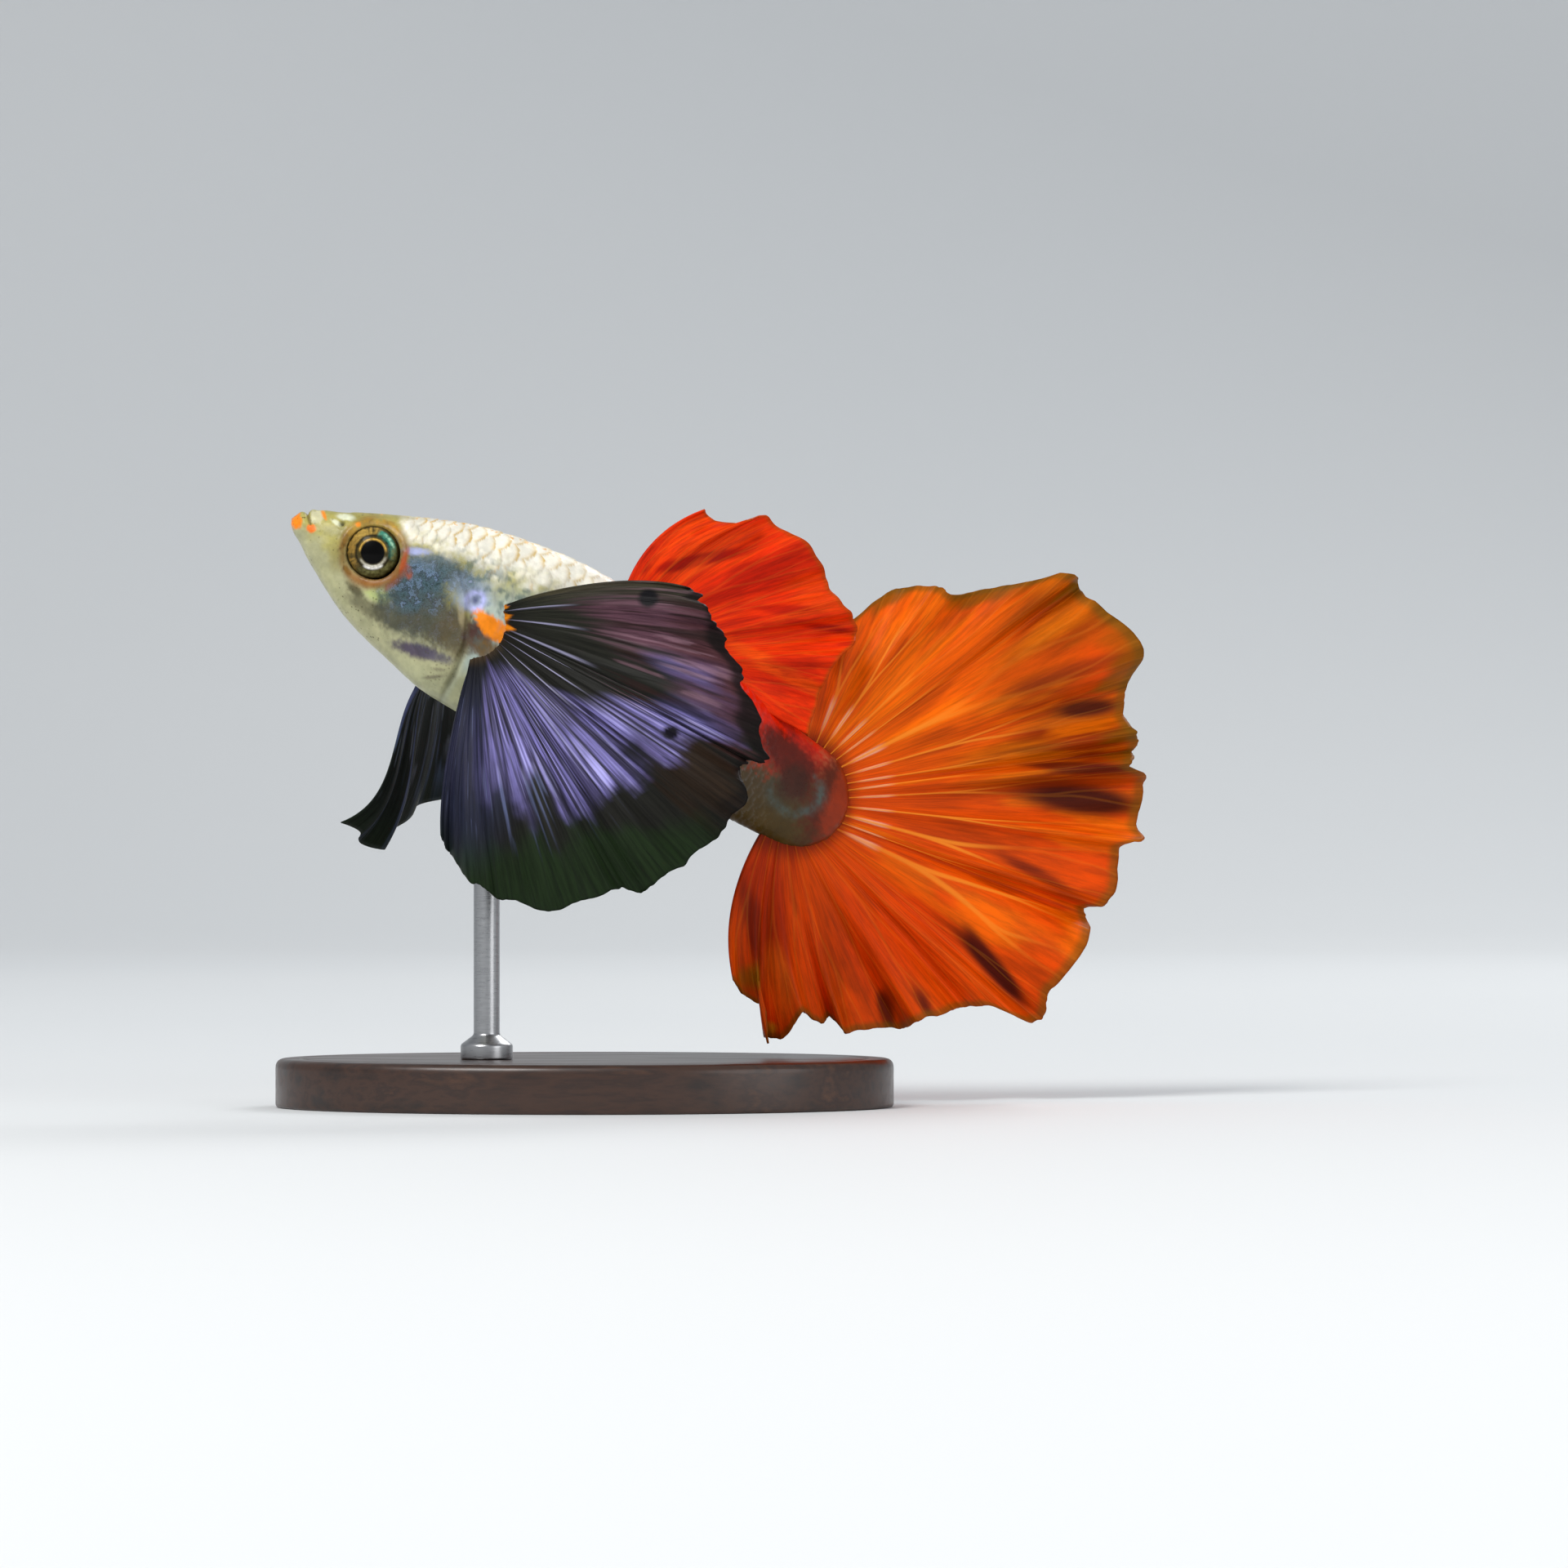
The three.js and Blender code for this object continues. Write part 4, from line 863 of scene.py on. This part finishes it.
def caudal_point(u, v):
    angle, reach = along(CAUDAL_MARGIN, u)
    reach = reach + notches(u, CAUDAL["rays"], CAUDAL_NOTCHES)
    root_angle = np.radians(lerp(*CAUDAL_ROOT_ANGLES, u))
    tip_angle = np.radians(angle)
    bow = CAUDAL["bow"] * arch(v) * rise(u, 0.75, 0.25)
    ruffle = sum(wave(u, shape) for shape in CAUDAL_RUFFLES)
    crimp = wave(u, CAUDAL_CRIMP) * rise(v, 0.55, 0.45)
    drift = CAUDAL["drift"] * v * v * smooth(1 - u / CAUDAL["drift_share"])
    return xyz(
        CAUDAL["x"] + lerp(CAUDAL["root"] * np.cos(root_angle), reach * np.cos(tip_angle), v) - bow,
        drift + v**1.6 * (ruffle + crimp),
        CAUDAL["z"] + lerp(CAUDAL["root"] * np.sin(root_angle), reach * np.sin(tip_angle), v),
    )


def dorsal_point(u, v):
    tip_x, tip_z = along(DORSAL_MARGIN, u)
    root_x, root_z = along(DORSAL["root"], u)
    sink_x, sink_z = DORSAL["sink"]
    bow = DORSAL["bow"] * arch(v) * (1 - smooth(u / 0.6))
    drift = DORSAL["drift"] * v * v * smooth(0.25 + u)
    w = drift + v**1.5 * wave(u, DORSAL_RUFFLE) + wave(u, DORSAL_CRIMP) * rise(v, 0.5, 0.5)
    return xyz(lerp(root_x - sink_x, tip_x, v) - bow, w, lerp(root_z - sink_z, tip_z, v) + bow)


def pectoral_root(u, side):
    x, z = along(PECTORAL["root"], u)
    return xyz(x - ROOT_SLANT * PECTORAL["sink"], side * (PECTORAL["w"] - PECTORAL["sink"]), z)


def left_pectoral_point(u, v):
    angle, reach = along(LEFT_MARGIN, u)
    reach = reach + notches(u, PECTORAL["rays"], LEFT_NOTCHES, LEFT_UPPER_NOTCHES * fall(u, 0.4, 0.15))
    angle = np.radians(angle)
    out = PECTORAL["w"] + LEFT["out"] + LEFT["middle_out"] * np.sin(math.pi * u)
    root = pectoral_root(u, -1)
    tip = xyz(PECTORAL["x"] + reach * np.cos(angle), -out, PECTORAL["z"] + reach * np.sin(angle))
    lift = LEFT["lift"] * (1 - smooth(u / 0.35))
    sag = LEFT["sag"] * rise(u, 0.7, 0.3)
    first, second = (lerp(root, tip, share) for share in LEFT_SHARES)
    first += xyz(-0.5 * sag, 0, 0.5 * lift)
    first[..., 1] = -PECTORAL["w"] - LEFT["root_out"]
    second += xyz(-sag, 0, lift)
    second[..., 1] = -out * LEFT["bulge"]
    points = bezier(root, first, second, tip, v[..., None])
    points[..., 1] += v**2 * wave(u, LEFT_RUFFLE) + wave(u, LEFT_CRIMP) * rise(v, 0.5, 0.5)
    return points


def right_pectoral_point(u, v):
    _, near_w, near_z = along(RIGHT_NEAR, u)
    near = xyz(along(RIGHT_NEAR, smooth(u))[0], near_w, near_z)
    far = xyz(*along(RIGHT_FAR, u))
    points = bezier(pectoral_root(u, 1), near, far, xyz(*along(RIGHT_MARGIN, u)), v[..., None])
    points[..., 0] += v**2 * wave(u, RIGHT_RUFFLE)
    return points


def pelvic_point(side):
    def point(u, v):
        tip_x, tip_z = along(PELVIC_MARGIN, u)
        root_x, root_z = along(PELVIC["root"], u)
        w = PELVIC["w"] + v * (PELVIC["spread"] + wave(u, PELVIC_RUFFLE))
        x = lerp(root_x - ROOT_SLANT * PELVIC["sink"], tip_x, v)
        return xyz(x, side * w, lerp(root_z + PELVIC["sink"], tip_z, v))

    return point


def ray_distance(u, rays):
    """How far a point lies from the nearest ray, as a share of the way between two."""
    return np.abs(np.mod(u * rays, 1) - 0.5)


def fin_piece(name, point, rays, columns, rows, paint, material, slot, place=bend):
    """A thin closed sheet that tapers to its margin, with a low ridge on both faces at each ray."""
    u, v = np.meshgrid(np.linspace(0, 1, rays * columns + 1), np.linspace(0, 1, rows + 1), indexing="ij")
    flat = point(u, v)
    raised = RAY["height"] * ridge(ray_distance(u, rays), 0, RAY["width"]) * (1 - RAY["taper"] * v)
    off = normals_of(flat) * (lerp(*FIN_THICKNESS, v) / 2 + raised)[..., None]
    index = np.arange(u.size).reshape(u.shape)
    rim = np.concatenate([index[:, 0], index[-1, 1:], index[-2::-1, -1], index[0, -2:0:-1]])
    ahead = np.roll(rim, -1)
    faces = grid_faces(*u.shape, flip=True) + grid_faces(*u.shape, offset=u.size)
    faces += np.stack([rim, rim + u.size, ahead + u.size, ahead], axis=-1).tolist()
    colours, glow = paint(u, v, flat[..., 0], flat[..., 2])
    fan = xyz(u * rays, v, glow)
    attributes = {"tint": np.array([colours, colours]), "fan": np.array([fan, fan])}
    vertices = np.array([place(flat + off), place(flat - off)])
    new_piece("shown_" + name, vertices, faces, material, slot, (name,), attributes)


CAUDAL_MARKS = [
    ("#ee6600", 22.5, 26.5, 8.0, 6.0, 40, 1.2, 0.95),
    ("#b04c00", 31.5, 31.6, 4.2, 2.4, 30, 1.0, 0.85),
    ("#963400", 30.8, 22.6, 3.6, 3.0, 0, 1.2, 0.85),
    ("#e04e00", 22.5, 16.6, 6.5, 3.0, -20, 1.2, 0.8),
    ("#ee5c00", 26.0, 12.0, 3.8, 2.4, -40, 1.0, 0.95),
    ("#ea4a00", 18.0, 10.0, 5.0, 3.2, 0, 1.2, 0.9),
    ("#c03000", 11.3, 13.2, 2.1, 5.2, 10, 1.0, 0.9),
    ("#a86400", 26.5, 21.3, 2.8, 1.0, 8, 1.2, 0.4),
    ("#a86400", 29.0, 29.0, 2.8, 0.5, 35, 1.2, 0.4),
    ("#a87400", 10.75, 7.9, 0.9, 0.9, 0, 1.0, 0.8),
    ("#f0680c", 12.6, 7.4, 0.5, 2.6, 8, 0.8, 0.95),
    ("#d9a020", 12.4, 4.7, 0.4, 0.45, 0, 0.8, 0.9),
]
# Painted shade: dark streaks along the caudal fin's folds, where the ruffled membrane creases.
CAUDAL_FOLD_SHADE = [
    ("#4e120a", 32.2, 24.6, 2.2, 0.55, 5, 1.0, 0.9),
    ("#4e120a", 32.4, 18.8, 2.9, 0.8, -6, 1.0, 0.95),
    ("#5e160a", 30.6, 20.9, 3.4, 0.26, -2, 1.0, 0.8),
    ("#6a1a0a", 28.8, 14.2, 2.6, 0.4, -28, 1.0, 0.7),
    ("#45100a", 26.6, 7.9, 3.4, 0.5, -50, 1.0, 0.95),
    ("#5e160a", 25.3, 9.6, 2.2, 0.3, -54, 1.0, 0.7),
    ("#5e160a", 21.5, 6.2, 0.5, 1.3, 30, 1.0, 0.85),
    ("#5e160a", 19.5, 5.8, 0.4, 1.2, 12, 1.0, 0.8),
    ("#7e200a", 10.9, 11.6, 0.5, 3.2, 12, 1.0, 0.7),
    ("#7a260a", 31.0, 27.0, 3.0, 0.4, 20, 1.0, 0.6),
    ("#7a260a", 16.8, 28.5, 0.35, 2.4, -10, 1.0, 0.5),
]
DORSAL_MARKS = [
    ("#fb4a06", 8.2, 35.0, 3.0, 1.9, 30, 1.2, 0.95),
    ("#ee2a03", 11.3, 32.6, 3.6, 1.1, 20, 1.2, 0.8),
    ("#f24a0a", 14.8, 31.6, 2.4, 1.4, -35, 1.2, 0.9),
    # The next three dark streaks are painted shade along the dorsal fin's folds.
    ("#a81205", 7.6, 33.6, 2.6, 0.32, 12, 1.0, 0.9),
    ("#b51806", 16.0, 29.4, 2.4, 0.26, -10, 1.0, 0.9),
    ("#c01c06", 12.6, 30.6, 3.2, 0.28, -4, 1.0, 0.8),
    ("#ff5a0c", 11.9, 27.2, 3.0, 0.42, -31, 0.9, 0.9),
]
# The lilac field of the pectoral: where along the lower rays it starts and ends, how much further out it does
# on the upper ones, and at what share of the fin that ends.
LILAC = {"from": (0.2, 0.5, 0.6), "to": (0.66, 0.27, 0.5), "fade": 0.33}
PECTORAL_MARKS = [
    ("#64424f", 5.8, 29.3, 4.2, 1.7, -12, 1.0, 0.9),
    ("#4e2c30", 8.8, 26.2, 1.9, 4.2, 20, 1.0, 0.9),
    ("#2d2117", 7.6, 20.6, 3.2, 1.8, -40, 1.0, 0.9),
]


def caudal_paint(u, v, x, z):
    streak = cloud(u * 60, v * 3, 1, 3)
    ragged = 1.2 * (noise(u * 50, v * 2, 4) - 0.5)
    facing = np.degrees(np.arctan2(z - CAUDAL["z"], x - CAUDAL["x"]))
    radius = distance(x, z, (CAUDAL["x"], CAUDAL["z"]))
    fin = Paint(u, "#ea5200")
    fin.marks(x, z, CAUDAL_MARKS, ragged)
    fin.lay("#b03a00", rise(streak, 0.52, 0.16) * rise(v, 0.1, 0.3) * 0.45)
    fin.lay("#ff8400", fall(streak, 0.44, 0.14) * band(facing, -40, 66, 20) * 0.45)
    olive = rise(v + 0.4 * (streak - 0.5), 0.88, 0.12) * rise(z, 19.0, 4.0)
    fin.lay("#8f5c00", olive * 0.7)
    # Painted shade along the caudal fin's folds.
    fin.marks(x, z, CAUDAL_FOLD_SHADE, ragged)
    fin.lay("#7a5a12", rise(v, 0.955, 0.03) * 0.6)
    fin.lay("#8c2606", fall(radius, 4.7, 1.5) * 0.95)
    from_ray = ray_distance(u, CAUDAL["rays"])
    lit = band(facing, -36, 66, 18)
    fin.lay("#ffe2c4", fall(from_ray, 0.13, 0.07) * band(radius, 4.5, 6.4, 1.0) * lit * 0.85)
    length = 0.42 + 0.5 * noise(np.floor(u * CAUDAL["rays"]) * 7.3, 0 * u, 12)
    return fin.colours, 0.14 + 0.86 * lit * fall(v, length, 0.25)


def dorsal_paint(u, v, x, z):
    streak = cloud(u * 30, v * 2.5, 7, 3)
    fin = Paint(u, "#f03604")
    # Its marks hold its own colours and painted shade along its folds.
    fin.marks(x, z, DORSAL_MARKS, noise(u * 30, v * 2, 5) - 0.5)
    fin.lay("#c41a03", rise(streak, 0.55, 0.14) * rise(v, 0.1, 0.3) * 0.5)
    fin.lay("#fb5208", fall(streak, 0.44, 0.14) * 0.5)
    fin.lay("#b3560c", rise(v, 0.965, 0.03) * 0.6)
    return fin.colours, 0.1


def left_pectoral_paint(u, v, x, z):
    streak = cloud(u * 130, v * 3, 2, 3)
    threads = noise(u * 230, v * 5, 22)
    ends = noise(u * 34, 0 * v, 9) - 0.5
    patch = cloud(x * 0.5, z * 0.5, 6) - 0.5
    fin = Paint(u, "#1b1b17")
    fin.lay("#2c2d24", fall(u, 0.3, 0.2) * rise(v, 0.12, 0.2) * 0.8)
    fin.lay("#665c3c", fall(u, 0.035 + 0.03 * streak, 0.02) * rise(v, 0.2, 0.3) * 0.8)
    fin.marks(x, z, PECTORAL_MARKS, 1.4 * (streak - 0.5))
    fin.lay("#2b1a18", fall(streak, 0.42, 0.1) * rise(x, 1.0, 3) * rise(z, 22.0, 3) * 0.85)
    fin.lay("#38352a", fall(u, 0.11 + 0.06 * ends, 0.05) * rise(v, 0.2, 0.3) * 0.85)
    fin.lay("#1b2a14", fall(z, 17.8 + 3 * patch + 2 * ends, 2.4) * 0.95)
    fin.lay("#24273a", blob(x, z, (-6.0, 21.0), (2.6, 5.0), 1.0) * 0.9)
    edges = (LILAC["from"], LILAC["to"])
    low, high = (near + further * fall(u, turn, LILAC["fade"]) for near, further, turn in edges)
    low = low + 0.16 * rise(u, 0.72, 0.12) + 0.1 * ends
    high = high + 0.12 * ends + 0.2 * patch
    lilac = band(v, low, high, 0.14) * rise(u, 0.17 + 0.1 * ends, 0.1)
    lilac = lilac * (1 - 0.9 * rise(u, 0.74, 0.14)) * (0.8 + patch)
    fin.lay("#57507f", lilac * (0.35 + streak))
    bright = lilac * blob(x, z, (2.0, 22.9), (8.0, 4.8), 1.0)
    fin.lay("#8a83c8", bright * rise(streak, 0.42, 0.16))
    fin.lay("#b3aeea", bright * rise(threads, 0.66, 0.2) * 0.8)
    fin.lay("#66507c", lilac * (1 - bright) * rise(streak, 0.5, 0.2) * rise(x, 3.0, 3) * 0.8)
    fin.lay("#17141d", lilac * fall(threads, 0.3, 0.1) * 0.85)
    fin.lay("#17141d", lilac * fall(streak, 0.36, 0.08) * 0.8)
    lower = rise(u, 0.5, 0.2) * band(v, 0.25, 0.75, 0.2)
    fin.lay("#6f7aa6", (1 - lilac) * rise(threads, 0.8, 0.1) * lower * 0.5)
    fin.lay("#8f6c78", rise(threads, 0.75, 0.1) * blob(x, z, (6.5, 28.0), (4.5, 4.0), 1.0) * 0.55)
    fin.lay("#120d0c", rise(v + 0.08 * ends, 0.93, 0.04) * fall(u, 0.5, 0.15) * 0.85)
    fin.lay("#100e12", blob(x, z, (4.85, 31.0), (0.6, 0.55), 0.6))
    fin.lay("#15121c", blob(x, z, (6.2, 22.9), (0.5, 0.4), 0.6))
    from_ray = ray_distance(u, PECTORAL["rays"])
    upper = fall(u, 0.62, 0.1) * band(v, 0.17, 0.42, 0.14)
    fin.lay("#b5b2d4", fall(from_ray, 0.07, 0.04) * upper * 0.75)
    fin.lay("#ef8a10", fall(v, 0.15 + 0.06 * ends, 0.03) * fall(u, 0.42, 0.1))
    fin.lay("#4e3e2c", fall(v, 0.17, 0.08) * rise(u, 0.42, 0.1) * 0.9)
    return fin.colours, 0.25 + 0.75 * lilac


def right_pectoral_paint(u, v, x, z):
    streak = cloud(u * 60, v * 2, 8, 3)
    fin = Paint(u, "#171d19")
    threads = noise(u * 90, v * 5, 23)
    fin.lay("#46536e", rise(streak, 0.52, 0.12) * rise(v, 0.2, 0.3) * 0.85)
    fin.lay("#5b5f8c", rise(streak, 0.6, 0.1) * rise(u, 0.7, 0.2) * 0.7)
    fin.lay("#7d8698", rise(threads, 0.78, 0.12) * band(v, 0.3, 0.8, 0.2) * 0.5)
    fin.lay("#1a2416", rise(v, 0.8, 0.2) * 0.8)
    return fin.colours, 0.3


def clear_paint(u, v, x, z):
    streak = cloud(u * 30, v * 2, 3, 3)
    fin = Paint(u, "#b98a3e")
    fin.lay("#d95f14", rise(streak, 0.45, 0.2) * 0.7)
    fin.lay("#3b2a1a", rise(v, 0.8, 0.2) * 0.6)
    return fin.colours, 1.0


def gonopodium_piece(material):
    rings, sides = 60, 24
    t = np.linspace(0, len(GONOPODIUM) - 1, rings)[:, None]
    angle = circle(sides)[None, :]
    x, z, radius = (through(GONOPODIUM[:, k], t) for k in range(3))
    ahead_x, ahead_z = heading(GONOPODIUM, t, 0.05)
    n = radius * np.cos(angle) * (1 + 0.05 * np.cos(3 * angle))
    vertices = bend(xyz(x - ahead_z * n, 0.75 * radius * np.sin(angle), z + ahead_x * n))
    fin = Paint(n, "#b98a3e")
    fin.lay("#2c2018", rise(t, 2.4, 1.2))
    attributes = {"tint": fin.colours, "fan": xyz(angle * 0.8, t / 4, 0.4)}
    faces = tube_faces(rings, sides, flip=True)
    new_piece("shown_gonopodium", vertices, faces, material, "clear_fin", ("gonopodium",), attributes)


# The stand


def turned_piece(name, node, at, profile, material, slot):
    """A piece turned from a profile of half length, half width and height, from its foot to its top."""
    angle = circle(TURNED_SIDES)
    rings = np.array([xyz(at[0] + a * np.cos(angle), at[1] + b * np.sin(angle), z) for a, b, z in profile])
    new_piece(name, rings, tube_faces(len(profile), TURNED_SIDES), material, slot, (node,), {})


def rounded(points, radius, steps=6):
    """A profile whose inner corners are cut to arcs of a radius."""
    points = [np.array(p, float) for p in points]
    out = [points[0]]
    for before, corner, after in zip(points, points[1:], points[2:]):
        back = before - corner
        ahead = after - corner
        reach = min(radius, np.linalg.norm(back) / 2, np.linalg.norm(ahead) / 2)
        start = corner + back / np.linalg.norm(back) * reach
        end = corner + ahead / np.linalg.norm(ahead) * reach
        for k in range(steps + 1):
            t = k / steps
            out.append((1 - t) ** 2 * start + 2 * t * (1 - t) * corner + t * t * end)
    out.append(points[-1])
    return out


def stand_pieces():
    foot = BASE["height"]
    inset, depth = BASE["groove"], BASE["groove_depth"]
    base = [(0.5, 0), (0, 0), (0, foot), (inset, foot), (inset + depth, foot - depth)]
    base += [(inset + 2 * depth, foot), (inset + BASE_INSET, foot)]
    edge = [(BASE["length"] / 2 - i, BASE["width"] / 2 - i, z) for i, z in rounded(base, BASE["bevel"])]
    turned_piece("shown_base", "stand_base", (0, 0), edge, wood_material(), "base")
    thin, wide = ROD["radius"], ROD["collar"]
    shoulder = foot + ROD["collar_height"]
    rod = [(wide / 4, foot), (wide, foot), (wide, shoulder)]
    rod += [(thin, shoulder + ROD["cone"]), (thin, ROD["top"]), (thin / 2, ROD["top"])]
    profile = [(r, r, z) for r, z in rounded(rod, 0.15)]
    at = bend(np.array([ROD["x"], 0.0, 0.0]))
    turned_piece("shown_rod", "stand_rod", at[:2], profile, steel_material(), "steel")


# The studio


def softbox(name, place, size, power, colour=(1.0, 1.0, 1.0)):
    """A round area light that is turned to the middle of the model."""
    light = bpy.data.lights.new(name, "AREA")
    light.shape = "DISK"
    light.size = size
    light.energy = power
    light.color = colour
    lamp = put(name, light, place)
    lamp.rotation_euler = (Vector(MODEL_MIDDLE) - lamp.location).to_track_quat("-Z", "Y").to_euler()


def studio_floor():
    """A pale floor that curves up into a backdrop."""
    wide, front, back, radius, height = 3.0, -1.5, 0.45, 0.35, 1.6
    profile = [(front, 0.0)]
    for k in range(17):
        a = math.pi / 2 * k / 16
        profile.append((back + radius * math.sin(a), radius * (1 - math.cos(a))))
    profile.append((back + radius, height))
    vertices = []
    for y, z in profile:
        vertices += [(-wide, y, z), (wide, y, z)]
    faces = [(2 * i, 2 * i + 1, 2 * i + 3, 2 * i + 2) for i in range(len(profile) - 1)]
    n = Nodes("floor")
    pale = n.ramp(n.noise(n.place(), 3.0, 2.0), [(0.3, "#dde0e2"), (0.7, "#e2e4e5")])
    material = n.finish(n.surface({"Base Color": pale, "Roughness": 0.7}))
    floor = put("floor", smooth_mesh("floor", vertices, faces, material))


def studio():
    scene = bpy.context.scene
    scene.view_settings.view_transform = "Standard"
    world = bpy.data.worlds.new("studio")
    world.use_nodes = True
    sky = world.node_tree.nodes["Background"].inputs
    sky["Color"].default_value = (0.93, 0.96, 1.0, 1.0)
    sky["Strength"].default_value = 0.5
    scene.world = world
    softbox("key", (-0.22, -0.34, 0.42), 0.24, 2.2, (1.0, 0.985, 0.96))
    softbox("fill", (0.42, -0.36, 0.16), 0.35, 0.6)
    softbox("rear", (0.25, 0.40, 0.36), 0.28, 1.1)
    studio_floor()
    lens = bpy.data.cameras.new("camera")
    lens.lens = CAMERA["lens"]
    lens.sensor_width = 36.0
    lens.clip_start = 0.01
    lens.clip_end = 10.0
    camera = put("camera", lens, stay(np.array(CAMERA["place"])) * MM)
    camera.rotation_euler = (math.pi / 2, 0.0, 0.0)
    scene.camera = camera


# The whole fish

studio()
skin_piece()
eye = eye_material()
for side_name, side in SIDES.items():
    eye_piece("eye_" + side_name, side, eye)
bright = fin_material("bright_fin", "#ff9a2a", 0.85, 0.78, 0.3)
dark = fin_material("dark_fin", "#110f14", 0.6, 0.6, 0.12)
clear = fin_material("clear_fin", "#e8c88a", 0.6, 0.7, 0.3)
fin_piece("caudal_fin", caudal_point, CAUDAL["rays"], 20, 90, caudal_paint, bright, "bright_fin")
fin_piece("dorsal_fin", dorsal_point, DORSAL["rays"], 26, 70, dorsal_paint, bright, "bright_fin")
rays = PECTORAL["rays"]
left = ("pectoral_fin_left", left_pectoral_point, rays, 34, 90, left_pectoral_paint)
right = ("pectoral_fin_right", right_pectoral_point, rays, 14, 60, right_pectoral_paint)
for fin in (left, right):
    fin_piece(*fin, dark, "dark_fin", stay)
for side_name, side in SIDES.items():
    fin_piece(
        "pelvic_fin_" + side_name, pelvic_point(side), PELVIC["rays"], 14, 30, clear_paint, clear, "clear_fin"
    )
gonopodium_piece(clear)
stand_pieces()
